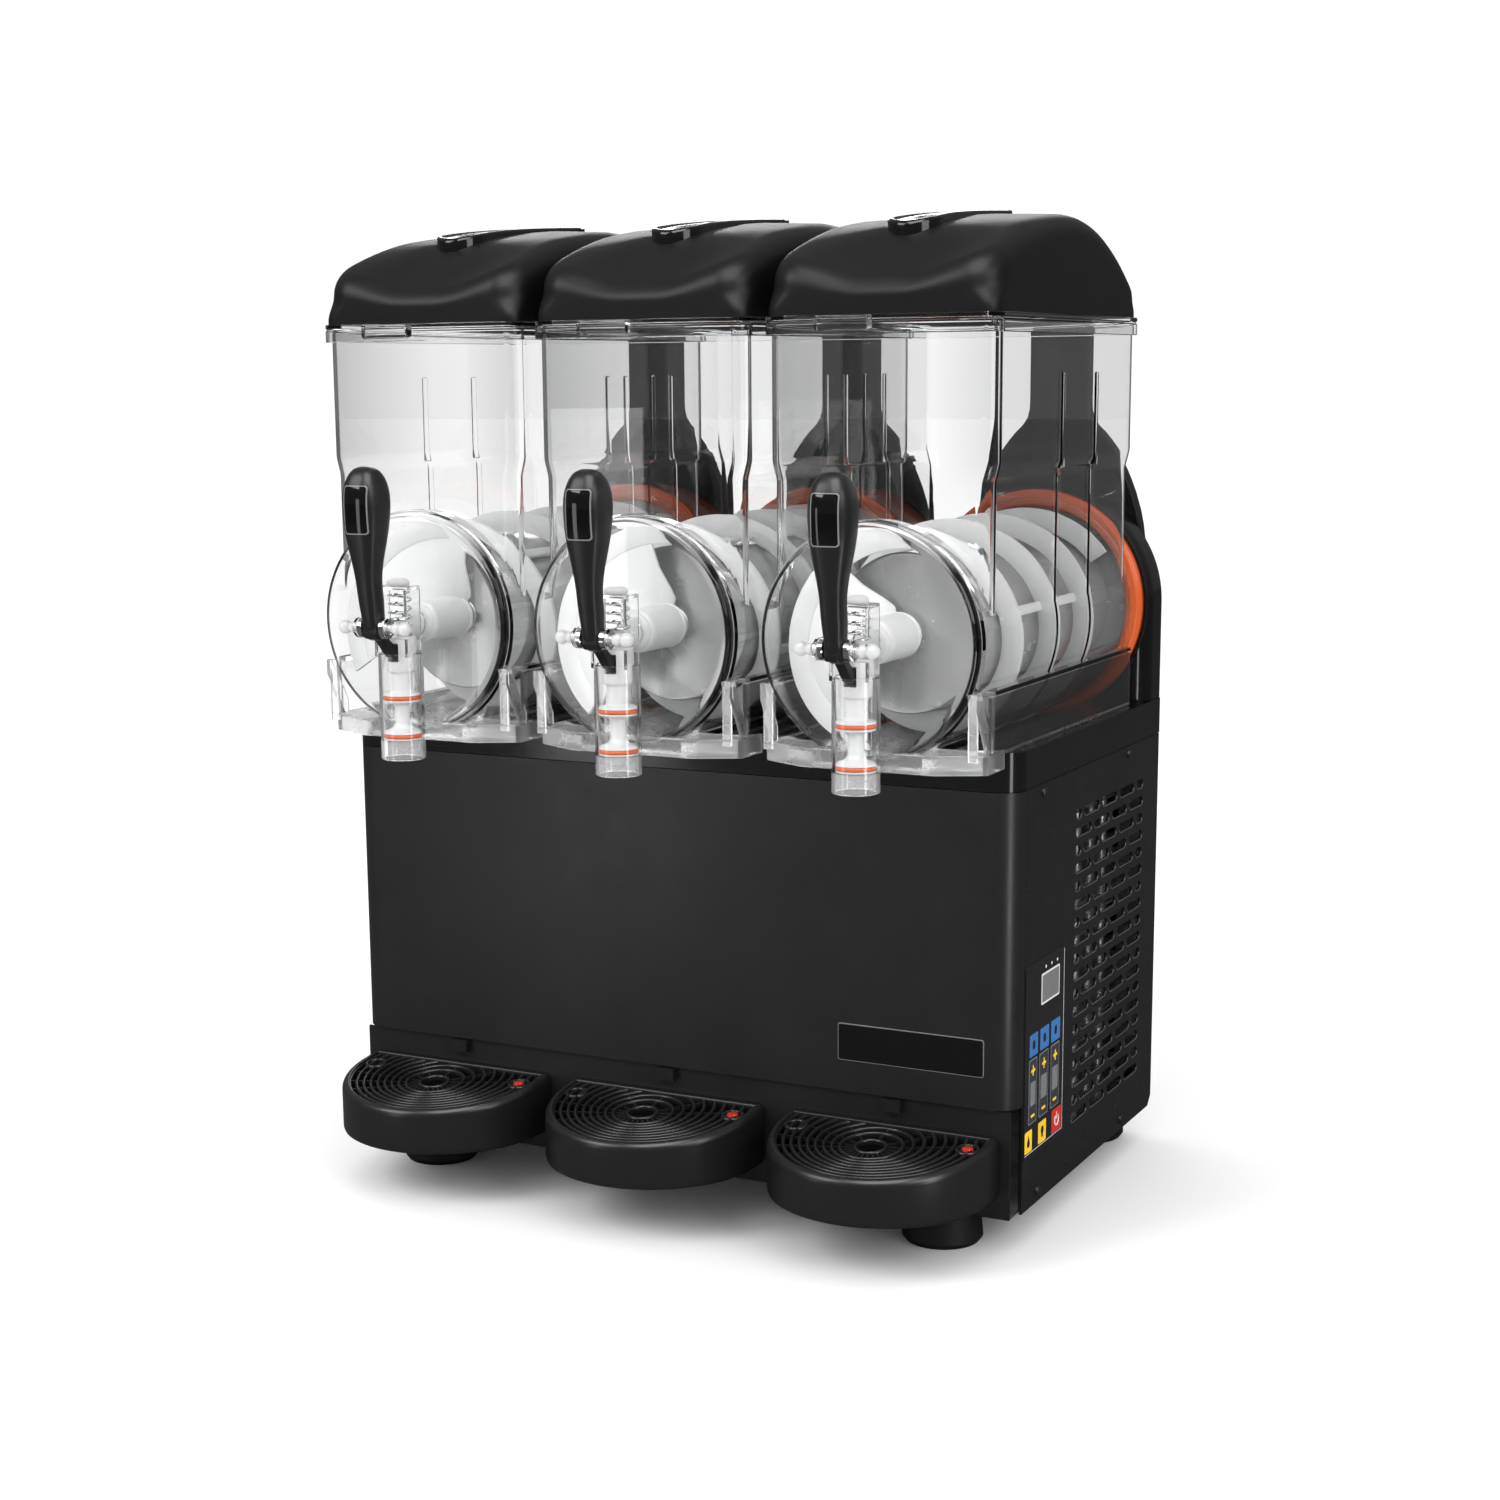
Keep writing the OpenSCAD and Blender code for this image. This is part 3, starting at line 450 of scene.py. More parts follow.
def rrect(x0, y0, x1, y1, r, n=8):
    """Rounded rectangle, anticlockwise. r is one radius or four (x1y1, x0y1, x0y0, x1y0)."""
    rs = r if isinstance(r, (list, tuple)) else [r] * 4
    pts = []
    for (cx, cy, a0), rr in zip(((x1, y1, 0), (x0, y1, 90), (x0, y0, 180), (x1, y0, 270)), rs):
        sx = -1 if cx == x1 else 1
        sy = -1 if cy == y1 else 1
        for k in range(n + 1):
            a = math.radians(a0 + 90 * k / n)
            pts.append((cx + sx * rr + rr * math.cos(a), cy + sy * rr + rr * math.sin(a)))
    return pts


def obj(name, mesh, mat=None, body=None, replaces=(), at=0.0, smooth=30, bevel=None, segs=2, weighted=False, subdiv=0):
    """Puts a mesh in the scene. at moves it along x in millimetres, for one mesh used at three bowls."""
    ob = bpy.data.objects.new(name, mesh)
    scene.collection.objects.link(ob)
    ob.location = (at * 0.001, 0, 0)
    if mat is not None:
        mesh.materials.clear()
        mesh.materials.append(MAT[mat] if isinstance(mat, str) else mat)
        mesh.polygons.foreach_set("material_index", [0] * len(mesh.polygons))
    if smooth is not None:
        mesh.shade_smooth()
        mesh.set_sharp_from_angle(angle=math.radians(smooth))
    if bevel:
        b = ob.modifiers.new("bevel", "BEVEL")
        b.width = bevel * 0.001
        b.segments = segs
        b.limit_method = "ANGLE"
        b.angle_limit = math.radians(32)
        b.harden_normals = True
        b.use_clamp_overlap = True
    if subdiv:
        s = ob.modifiers.new("subdivision", "SUBSURF")
        s.levels = s.render_levels = subdiv
    if weighted:
        w = ob.modifiers.new("weighted", "WEIGHTED_NORMAL")
        w.keep_sharp = True
        w.weight = 90
    if body:
        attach(ob, body)
    for r in ([replaces] if isinstance(replaces, str) else replaces):
        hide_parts(r)
    return ob


def applied(ob):
    """The object's mesh with its modifiers applied, and the object removed."""
    dg = bpy.context.evaluated_depsgraph_get()
    me = bpy.data.meshes.new_from_object(ob.evaluated_get(dg))
    bpy.data.objects.remove(ob)
    return me


def solid(m):
    """A temporary object for cutting and joining."""
    ob = bpy.data.objects.new("tmp", m.build("tmp"))
    scene.collection.objects.link(ob)
    return ob


def bevelled(m, w, segs=3, angle=32):
    ob = solid(m)
    b = ob.modifiers.new("bevel", "BEVEL")
    b.width = w * 0.001
    b.segments = segs
    b.limit_method = "ANGLE"
    b.angle_limit = math.radians(angle)
    me = applied(ob)
    ob = bpy.data.objects.new("tmp", me)
    scene.collection.objects.link(ob)
    return ob


def combine(base, add=(), cut=()):
    """Joins and cuts closed solids exactly, in that order, and returns the mesh."""
    for op, group in (("UNION", add), ("DIFFERENCE", cut)):
        for o in group:
            b = base.modifiers.new("b", "BOOLEAN")
            b.operation = op
            b.solver = "MANIFOLD"
            b.object = o
            me = applied_keep(base)
            base.modifiers.clear()
            base.data = me
    for o in list(add) + list(cut):
        bpy.data.objects.remove(o)
    me = base.data
    bpy.data.objects.remove(base)
    bm = bmesh.new()
    bm.from_mesh(me)
    bmesh.ops.remove_doubles(bm, verts=bm.verts, dist=1e-6)
    bmesh.ops.dissolve_degenerate(bm, dist=1e-6, edges=bm.edges)
    bm.to_mesh(me)
    bm.free()
    return me


def applied_keep(ob):
    dg = bpy.context.evaluated_depsgraph_get()
    dg.update()
    return bpy.data.meshes.new_from_object(ob.evaluated_get(dg))


def bez(pts, n=8):
    """Smooth curve through points (Catmull-Rom), any number of coordinates."""
    out = []
    k = len(pts)
    for i in range(k - 1):
        p0, p1, p2, p3 = pts[max(i - 1, 0)], pts[i], pts[i + 1], pts[min(i + 2, k - 1)]
        for j in range(n):
            t = j / n
            out.append(tuple(0.5 * ((2 * b) + (-a + c) * t + (2 * a - 5 * b + 4 * c - d) * t * t + (-a + 3 * b - 3 * c + d) * t ** 3)
                             for a, b, c, d in zip(p0, p1, p2, p3)))
    out.append(tuple(pts[-1]))
    return out


def lerp_table(tab, x):
    """Straight-line interpolation in a table of (x, y)."""
    if x <= tab[0][0]:
        return tab[0][1]
    for (x0, y0), (x1, y1) in zip(tab, tab[1:]):
        if x <= x1:
            return y0 + (y1 - y0) * (x - x0) / (x1 - x0)
    return tab[-1][1]


STATIONS = ((1, -PITCH), (2, 0.0), (3, PITCH))


# ------------------------------------------------------------------ clear bowl
def bowl_mesh():
    def walls(t, y0, y1, rad, z0, z1, rim):
        """Upright walls that lean out between the narrow lower part and the hopper."""
        half = [(87.5, z0), (87.5, 589.0), (87.7, 591.4), (88.3, 593.8), (90.2, 601.2), (90.8, 603.6), (91, 606.0), (91, z1 - rim), (91 - rim * 0.3, z1 - rim * 0.3), (91 - rim, z1)]
        rings = []
        for w, z in half:
            o = 91 - w if z > 610 else 0
            rings.append([(x, y, z) for x, y in rrect(-w + t, y0 + t + o, w - t, y1 - t - o, rad, 10)])
        return solid(Mesh().loft(rings))
    hop = walls(0, -29, 286, 12, 474, 705, 1.2)
    cyl = solid(Mesh().lathe([(0, -52), (79, -52), (82.5, -51.5), (85.3, -50), (87.2, -47.6), (88, -44.6), (88, -43.4), (90, -41.6), (90, 291.4), (89.4, 292), (0, 292)], 112, "y", (0, 0, AXIS)))
    add = [cyl]
    for s in (-1, 1):
        def b(x0, y0, z0, x1, y1, z1, w=0.8):
            xs = sorted((s * x0, s * x1))
            return bevelled(Mesh().box(xs[0], y0, z0, xs[1], y1, z1), w, 2)
        add.append(b(87.6, -30, 391.4, 90.4, 292, 440, 0.7))          # skirt
        add.append(b(80, -30, 436.4, 90.6, 292, 440, 0.8))            # flange
        add.append(b(79, -48, 390, 86.2, -44, 440, 0.8))              # front leg
        # slanting rib and its clip
        rib = Mesh().prism([(-49, 440), (-44, 440), (-24, 404), (-24, 394), (-30, 394), (-49, 428)], s * 85 if s > 0 else -88.4, 88.4 if s > 0 else -85, "x")
        add.append(bevelled(rib, 0.7, 2))
        for y in (107, 184):
            add.append(b(86, y, 596, 92.4, y + 7, 668, 1.1))
            add.append(b(84, y, 486, 89.0, y + 7, 600, 1.0))
    for y in (107, 184):
        add.append(solid(Mesh().lathe([(0, y + 0.2), (90.6, y + 0.2), (91.3, y + 1.3), (91.3, y + 5.7), (90.6, y + 6.8), (0, y + 6.8)], 112, "y", (0, 0, AXIS))))
    # front foot plate
    outer = [(-90.4, -1), (-90.4, -34), (-53, -52), (53, -52), (90.4, -34), (90.4, -1), (86, -1), (70, -14), (-70, -14), (-86, -1)]
    tongue = bevelled(Mesh().prism(outer, 379, 394), 1.6, 3)
    add.append(tongue)
    # tap tube, web, guard and ears
    add.append(solid(Mesh().lathe([(0, 366), (17.2, 366), (18, 366.8), (18, 451.2), (17.2, 452), (0, 452)], 64, "z", (0, -69, 0))))
    add.append(bevelled(Mesh().box(-8, -57, 389, 8, -49, 452), 0.8, 2))
    for s in (-1, 1):
        xs = (13, 16) if s > 0 else (-16, -13)
        add.append(bevelled(Mesh().box(xs[0], -82, 449, xs[1], -62, 505.5), 0.8, 2))
        ear = [(-103 + 8 * math.cos(math.radians(a)), 474.6 + 8 * math.sin(math.radians(a))) for a in range(90, 271, 15)] + [(-70, 462), (-70, 482.6)]
        add.append(bevelled(Mesh().prism(ear, xs[0], xs[1], "x"), 0.7, 2))
    add.append(bevelled(Mesh().box(-16, -82, 502.5, 16, -62, 505.5), 0.8, 2))
    cut = [
        walls(3, -29, 286, 9, 474, 720, 0.01),
        solid(Mesh().lathe([(0, -47), (80, -47), (83.6, -46.2), (86, -43.8), (87, -40), (87, 300), (0, 300)], 112, "y", (0, 0, AXIS))),
        solid(Mesh().lathe([(0, -49.5), (11.3, -49.5), (11.3, -40), (0, -40)], 40, "y", (0, 0, AXIS))),
        solid(Mesh().lathe([(0, 360), (15.5, 360), (15.5, 453), (0, 453)], 64, "z", (0, -69, 0))),
        solid(Mesh().lathe([(0, -66), (6, -66), (6, -40), (0, -40)], 32, "y", (0, 0, 396))),
        solid(Mesh().lathe([(0, -20), (3.05, -20), (3.05, 20), (0, 20)], 24, "x", (0, -103, 474.6))),
        solid(Mesh().prism([(-84, -18), (-84, -33), (-51, -48.5), (-44, -48.5), (-44, -18)], 370, 391)),
        solid(Mesh().prism([(84, -18), (84, -33), (51, -48.5), (44, -48.5), (44, -18)], 370, 391)),
    ]
    return combine(hop, add, cut)


BOWL = bowl_mesh()
for n, x in STATIONS:
    obj("clear_bowl_%d" % n, BOWL, "clear_plastic", "bowl_%d" % n, "bowl_%d" % n, x, smooth=28, weighted=True)


# ------------------------------------------------------------------ lid cover
SIDE = [(-32, 750), (-20, 753.5), (0, 761), (15, 766), (30, 770), (55, 776), (78, 780), (110, 784), (140, 786), (165, 784.5), (187, 780.5), (205, 775.5), (222, 769), (238, 762), (255, 753), (270, 744), (280, 738), (286, 734)]
MIDDLE = [(-32, 732.5), (-20, 741), (-8, 750.5), (4, 761.5), (16, 770.5), (28, 775), (42, 778), (64, 781), (90, 784), (120, 787.5), (160, 790.5), (200, 792.5), (222, 790.5), (240, 785), (256, 775), (270, 762), (280, 751), (286, 744)]


def smooth_table(tab):
    xs = np.array([t[0] for t in tab], float)
    ys = np.array([t[1] for t in tab], float)
    g = np.arange(xs[0], xs[-1] + 0.5, 1.0)
    v = np.interp(g, xs, ys)
    pad = 14
    k = np.exp(-0.5 * (np.arange(-pad, pad + 1) / 5.0) ** 2)
    k /= k.sum()
    lo = v[0] - (v[1:pad + 1][::-1] - v[0])
    hi = v[-1] + (v[-1] - v[-pad - 1:-1][::-1])
    w = np.convolve(np.concatenate([lo, v, hi]), k, "valid")
    return lambda y: float(np.interp(y, g, w))


side_z, middle_z = smooth_table(SIDE), smooth_table(MIDDLE)


def lid_top(x, y):
    """The front dips in the middle like a lip, and the shoulders run up to the crown at the back."""
    a = abs(x)
    t = max(0.0, min(1.0, (a - 18) / 64.0))
    w0 = t * t * (3 - 2 * t)
    w1 = min(1.0, a / 92.0) ** 1.7
    f = max(0.0, min(1.0, (y - 5) / 60.0))
    z = middle_z(y) + (side_z(y) - middle_z(y)) * (w0 + (w1 - w0) * f)
    # finger hollow in front of the grip
    q = ((x / 24.0) ** 2 + ((y - 12) / 15.0) ** 2) ** 1.5
    return z - 2.2 * math.exp(-q)


def lid_height(x, y, d):
    """d is how far in from the outline the point lies."""
    c = max(0.0, min(1.0, (abs(x) - 30) / 50.0))
    fy = max(0.0, min(1.0, (y + 20) / 60.0))
    r, h = 11.0 + 4.0 * c + 4.0 * fy, 8.0 + 11.0 * c * (1 - fy) + 8.0 * fy
    t = 1 - min(d / r, 1.0)
    return min(lid_top(x, y) - h * (1 - math.sqrt(max(0.0, 1 - t * t))), 792.9)


def lid_mesh():
    m = Mesh()
    x0, x1, y0, y1 = -92.0, 92.0, -32.0, 286.0

    def outline(d, n=10, up=1.0):
        """up goes from 0 at the rim to 1 at the shoulder, where the corners are much rounder."""
        rf = max(12 + 13 * up - d * 0.6, 3.0)
        rb = max(12 + 6 * up - d * 0.6, 3.0)
        a, b = x1 - d, (y0 + d, y1 - d)
        if a < rf + 0.2:
            a = rf + 0.2
        pts = []
        cs = ((a - rb, b[1] - rb, 0, rb), (-a + rb, b[1] - rb, 90, rb), (-a + rf, b[0] + rf, 180, rf), (a - rf, b[0] + rf, 270, rf))
        for i, (cx, cy, a0, r) in enumerate(cs):
            for k in range(n + 1):
                t = math.radians(a0 + 90 * k / n)
                pts.append((cx + r * math.cos(t), cy + r * math.sin(t)))
            nx, ny, _, nr = cs[(i + 1) % 4]
            t0 = math.radians(a0 + 90)
            p = (cx + r * math.cos(t0), cy + r * math.sin(t0))
            q = (nx + nr * math.cos(t0), ny + nr * math.sin(t0))
            steps = 16 if i % 2 == 0 else 30
            for k in range(1, steps):
                pts.append((p[0] + (q[0] - p[0]) * k / steps, p[1] + (q[1] - p[1]) * k / steps))
        return pts

    rings = []
    foot, full = outline(0, up=0.0), outline(0)
    for z in (711.0, 712.5):
        rings.append([(x, y, z) for x, y in foot])
    for f in (0.12, 0.25, 0.4, 0.55, 0.7, 0.85):
        ring = []
        for (xa, ya), (xb, yb) in zip(foot, full):
            h = lid_height(xb, yb, 0)
            z = 712.5 + (h - 712.5) * f
            g = max(0.0, min(1.0, (z - 714) / max(h - 714, 1.0)))
            g = g * g * (3 - 2 * g)
            ring.append((xa + (xb - xa) * g, ya + (yb - ya) * g, z))
        rings.append(ring)
    ds = [0, 0.3, 0.9, 1.8, 3, 4.5, 6.3, 8.5, 11, 14, 17.5, 21.5, 26, 31, 37, 44, 52, 61, 70, 79, 86, 90.2]
    for d in ds:
        rings.append([(x, y, lid_height(x, y, d)) for x, y in outline(d)])
    m.loft(rings, caps=False)
    # close the ridge
    n = len(rings[0])
    last = len(rings) - 1
    b = last * n
    m.f.append(tuple(b + j for j in range(n)))
    # inner skin
    inner = [[(x * 0.967, (y - 127) * 0.981 + 127, max(711.0, z - 3.0) if i > 1 else 711.0) for x, y, z in r] for i, r in enumerate(rings)]
    k0 = len(m.v)
    inner = inner[1:]
    m.loft(inner, caps=False)
    m.f.append(tuple(k0 + (len(inner) - 1) * n + j for j in range(n)))
    for j in range(n):
        m.f.append((j, (j + 1) % n, k0 + (j + 1) % n, k0 + j))
    return m.build("lid_shell")


def insert_mesh():
    """Glossy drop-shaped grip: a round front, a long taper to the back."""
    m = Mesh()

    def outline(o, n=14):
        pts = []
        r = 20.5 - o
        for k in range(n + 1):
            a = pi + pi * k / n
            pts.append((r * math.cos(a), 37 + r * math.sin(a)))
        wt = lambda y: max(0.6, (20.5 - 16.0 * ((y - 37) / 190.0) ** 0.85) - o)
        ys = [37 + 190 * (k / 20.0) for k in range(1, 21)]
        right = [(wt(y), min(y, 229 - o)) for y in ys]
        left = [(-wx, y) for wx, y in reversed(right)]
        return pts + right + [(0, 230 - o)] + left

    def top(y):
        t = max(0.0, min(1.0, (y - 16) / 215.0))
        return 776.3 + 20.9 * t ** 0.5

    lay = []
    lay.append([(x, y, lid_top(x, y) - 4) for x, y in outline(0)])
    lay.append([(x, y, top(y) - 2.1) for x, y in outline(0)])
    for o, dz in ((0.3, 1.1), (0.9, 0.45), (1.7, 0.08), (2.6, 0.0), (3.4, 0.15), (4.4, 0.8), (5.6, 1.4), (7.5, 1.75), (11, 1.9), (15, 1.95), (19.5, 1.95)):
        lay.append([(x, y, top(y) - dz * (1.0 if o < 3 else max(0.25, 1 - (y - 37) / 230.0))) for x, y in outline(o)])
    m.loft(lay, caps=True)
    return m.build("lid_grip")


LID, GRIP = lid_mesh(), insert_mesh()
for n, x in STATIONS:
    obj("lid_cover_shell_%d" % n, LID, "lid_plastic", "lid_%d" % n, "lid_cover_%d" % n, x, smooth=60)
    obj("lid_grip_%d" % n, GRIP, "insert_plastic", "lid_%d" % n, (), x, smooth=50)


# ------------------------------------------------------------------ clear lid frame
def frame_mesh():
    m = Mesh()

    def ring(o, z):
        return [(x, y, z) for x, y in rrect(-94.2 + o, -33.8 + o, 94.2 - o, 289.3 - o, max(12.6 - o, 3), 10)]
    # outside wall with a groove near the top, the top lip, and back down inside
    prof = [(0.5, 697), (0, 697.6), (0, 705.6), (0.9, 706.4), (0.9, 707.4), (0, 708.2), (0, 710.2), (0.8, 711), (14.2, 711), (14.2, 708.2), (2.4, 708.2), (2.2, 707.8), (2.0, 697.4), (1.6, 697)]
    m.loft([ring(o, z) for o, z in prof], caps=False, loop=True)
    base = solid(m)
    tab = bevelled(Mesh().prism([(-33.5, 710.2), (-42.6, 710.2), (-43, 704), (-43, 701), (-41.5, 699), (-33.5, 700.5)], -46.5, -3.5, "x"), 1.0, 2)
    return combine(base, [tab], [])


FRAME = frame_mesh()
for n, x in STATIONS:
    obj("lid_rim_%d" % n, FRAME, "clear_plastic", "lid_%d" % n, "lid_frame_%d" % n, x, smooth=35, weighted=True)


# ------------------------------------------------------------------ lever, badge, pin, piston
# side view of the lever from the pin up: y, z, width, depth
LEVER = [(-103.0, 468.5, 12.0, 12.0), (-103.2, 474.6, 14.6, 16.6), (-104.4, 483, 15.4, 18.6), (-106.0, 494, 17.2, 19.4), (-107.6, 504, 17.8, 19.6), (-108.6, 514, 18.8, 20.2),
         (-109.2, 524, 21.4, 22.6), (-109.4, 534, 25.2, 25.8), (-109.4, 544, 29.0, 29.2), (-109.2, 554, 32.0, 32.0), (-108.8, 564, 33.8, 33.8), (-108.6, 573, 34.4, 34.4),
         (-108.4, 581, 33.4, 33.4), (-108.0, 588, 30.4, 30.2), (-107.6, 594, 25.4, 25.0), (-107.2, 598.4, 18.0, 17.6), (-107.0, 600.6, 9.0, 8.6)]


def lever_solid(inset=0.0, n=44):
    pts = bez(LEVER, 5)
    rings = []
    for i, (y, z, w, d) in enumerate(pts):
        a, b = pts[max(i - 1, 0)], pts[min(i + 1, len(pts) - 1)]
        t = Vector((0, b[0] - a[0], b[1] - a[1])).normalized()
        nrm = Vector((0, t.z, -t.y))
        hw_, hd = max(w / 2 - inset, 0.6), max(d / 2 - inset, 0.5)
        e = 2.0 / 2.7
        r = []
        for j in range(n):
            q = 2 * pi * j / n
            cx = math.copysign(abs(math.cos(q)) ** e, math.cos(q)) * hw_
            cd = math.copysign(abs(math.sin(q)) ** e, math.sin(q)) * hd
            p = Vector((cx, y, z)) + nrm * cd
            r.append(tuple(p))
        rings.append(r)
    if inset:
        rings = rings[1:-1]
    return solid(Mesh().loft(rings))


def lever_mesh():
    body = lever_solid()
    # tail into the tube, with its step and rounded nose
    tail = [(-110.6, 477), (-111, 471), (-109, 466.6), (-104.5, 464.8), (-99, 464.2), (-94, 459.5), (-88.5, 453.2), (-83, 449.4), (-77, 448.2), (-73.2, 450.2), (-71.9, 453.6), (-73.4, 456.9), (-77.2, 458.4),
            (-82.5, 459.6), (-88, 463.6), (-92.6, 469.4), (-95.6, 477)]
    tail_ob = bevelled(Mesh().prism(tail, -4.0, 4.0, "x"), 1.0, 3)
    block = bevelled(Mesh().prism([(-110.2, 481), (-110.8, 470.4), (-107.6, 466.2), (-100.4, 465.4), (-96.3, 470.6), (-95.8, 481)], -7.3, 7.3, "x"), 1.5, 3)
    me = combine(body, [tail_ob, block], [])
    ob = bpy.data.objects.new("tmp", me)
    scene.collection.objects.link(ob)
    # pocket for the badge: the outer skin is taken away and an inset body put back
    pocket = solid(Mesh().prism(rrect(-11.6, 548.6, 11.6, 587.4, 3.0, 6), -140, -112, "y"))
    me = combine(ob, [], [pocket])
    ob = bpy.data.objects.new("tmp", me)
    scene.collection.objects.link(ob)
    core = lever_solid(1.25)
    hole = solid(Mesh().lathe([(0, -20), (3.0, -20), (3.0, 20), (0, 20)], 24, "x", (0, -103, 474.6)))
    return combine(ob, [core], [hole])


def kept(inset, o, hole=None):
    """The part of the lever's skin, set in a little, that lies behind a rounded rectangle on its front."""
    skin = lever_solid(inset)
    b = skin.modifiers.new("b", "BOOLEAN")
    keep = solid(Mesh().prism(rrect(-11.2 + o, 549.0 + o, 11.2 - o, 587.0 - o, 2.8 - o * 0.6, 6), -140, -114, "y"))
    b.operation, b.solver, b.object = "INTERSECT", "MANIFOLD", keep
    me = applied_keep(skin)
    bpy.data.objects.remove(skin)
    bpy.data.objects.remove(keep)
    if hole:
        ob = bpy.data.objects.new("tmp", me)
        scene.collection.objects.link(ob)
        me = combine(ob, [], [solid(Mesh().prism(rrect(-11.2 + hole, 549.0 + hole, 11.2 - hole, 587.0 - hole, 2.8 - hole * 0.6, 6), -141, -113, "y"))])
    return me


def badge_mesh():
    return kept(0.75, 1.1)


def pin_mesh():
    m = Mesh()
    prof = [(0, -33.5)]
    for k in range(1, 12):
        a = math.radians(-90 + 13 * k)
        prof.append((5.5 * math.cos(a), -28 + 5.5 * math.sin(a)))
    prof += [(3.6, -22.6), (4.4, -21.6), (4.6, -19.4), (4.2, -18.6), (3.0, -18.2), (3.0, 0)]
    prof += [(r, -t) for r, t in prof[::-1][1:]]
    return m.lathe(prof, 40, "x", (0, -103, 474.6)).build("pin")


def collar_mesh():
    m = Mesh()
    for s in (-1, 1):
        m.lathe([(3.05, s * 7.95), (7.4, s * 7.95), (8.1, s * 8.5), (8.1, s * 11.9), (7.6, s * 12.5), (5.2, s * 12.7), (4.9, s * 12.2), (3.05, s * 12.2), (3.05, s * 7.95)], 48, "x", (0, -103, 474.6))
    return m.build("collars")


def piston_mesh():
    prof = [(0, 381.6), (13.6, 381.6), (14.9, 382.2), (14.9, 383.2), (13.0, 383.3), (13.0, 386.7), (14.9, 386.8), (14.9, 388.2), (13.8, 389.0), (9.5, 390.4), (7.4, 392.2), (6.0, 395.0),
            (6.0, 408.0), (7.4, 410.4), (10.5, 411.6), (13.8, 412.4), (14.9, 413.2), (14.9, 414.2), (13.0, 414.3), (13.0, 417.7), (14.9, 417.8), (14.9, 419.0), (14.0, 419.7), (10.2, 420.4), (9.1, 421.8),
            (9.0, 434.6), (9.6, 436.2), (11.0, 437.2), (11.5, 438.0), (11.5, 464.2), (10.9, 464.9), (4.6, 465.0), (4.0, 465.6), (4.0, 477.4), (3.4, 478), (0, 478)]
    base = solid(Mesh().lathe(prof, 56, "z", (0, -69, 0)))
    slot_ = solid(Mesh().box(-5, -83, 445.2, 5, -61.5, 460))
    return combine(base, [], [slot_])


def oring_mesh():
    m = Mesh()
    for z in (385, 416):
        prof = [(14.05 + 1.5 * math.cos(2 * pi * k / 14), z + 1.62 * math.sin(2 * pi * k / 14)) for k in range(14)]
        prof = [(min(r, 15.42), t) for r, t in prof]
        m.lathe(prof + prof[:1], 64, "z", (0, -69, 0))
    return m.build("orings")


def coil_mesh():
    """Return spring of five turns round wire."""
    m = Mesh()
    z0, z1, per, turns = 465 + 1.0, 501.5 - 1.0, 36, 5
    rings = []
    for k in range(per * turns + 1):
        t = k / (per * turns)
        a = 2 * pi * k / per
        z = z0 + (z1 - z0) * t
        rings.append([((8.3 + 0.93 * math.cos(q)) * math.cos(a), -69 + (8.3 + 0.93 * math.cos(q)) * math.sin(a), z + 0.93 * math.sin(q)) for q in [2 * pi * j / 12 for j in range(12)]])
    m.loft(rings)
    return m.build("coil")


FRAME_ME = kept(0.1, 0.0, 1.0)
LEVER_ME, BADGE_ME, PIN_ME, COLLAR_ME = lever_mesh(), badge_mesh(), pin_mesh(), collar_mesh()
PISTON_ME, ORING_ME = piston_mesh(), oring_mesh()
CAP_ME = Mesh().lathe([(0, 505.6), (8.0, 505.6), (9.2, 506.2), (9.4, 507.4), (8.9, 509.0), (7.2, 510.3), (4.0, 510.9), (0, 511)], 40, "z", (0, -69, 0)).build("spring_cap")
for n, x in STATIONS:
    obj("lever_%d" % n, LEVER_ME, "handle_plastic", "handle_%d" % n, "tap_handle_%d" % n, x, smooth=35, weighted=True)
    obj("lever_badge_%d" % n, BADGE_ME, "badge_gloss", "handle_%d" % n, (), x, smooth=40, bevel=0.45, segs=3)
    # the frame round the badge pocket is light grey all round, a painted highlight along the pocket's edge
    obj("lever_frame_%d" % n, FRAME_ME, "badge_rim", "handle_%d" % n, (), x, smooth=40, bevel=0.3, segs=3)
    obj("lever_pin_%d" % n, PIN_ME, "white_plastic", "bowl_%d" % n, "pivot_pin_%d" % n, x, smooth=40)
    obj("lever_collars_%d" % n, COLLAR_ME, "chrome", "bowl_%d" % n, (), x, smooth=35)
    obj("plunger_%d" % n, PISTON_ME, "white_plastic", "piston_%d" % n, "tap_piston_%d" % n, x, smooth=35, weighted=True)
    obj("plunger_rings_%d" % n, ORING_ME, "orange_silicone", "piston_%d" % n, "piston_rings_%d" % n, x, smooth=50)
    coil = obj("return_spring_%d" % n, coil_mesh(), "spring_steel", "piston_%d" % n, "tap_spring_%d" % n, x, smooth=60)
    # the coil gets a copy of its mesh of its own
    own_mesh(coil)
    obj("spring_cap_%d" % n, CAP_ME, "white_plastic", "bowl_%d" % n, (), x, smooth=40)


# ------------------------------------------------------------------ auger, drum, seal
TIP = {1: 213.0, 2: 236.0, 3: 268.0}


def advance(t):
    tab = [(0, -34), (88, -10), (178, 18), (268, 49), (1314, 49 + 80.5 * 1046 / 360)]
    return min(282.0, lerp_table(tab, t))


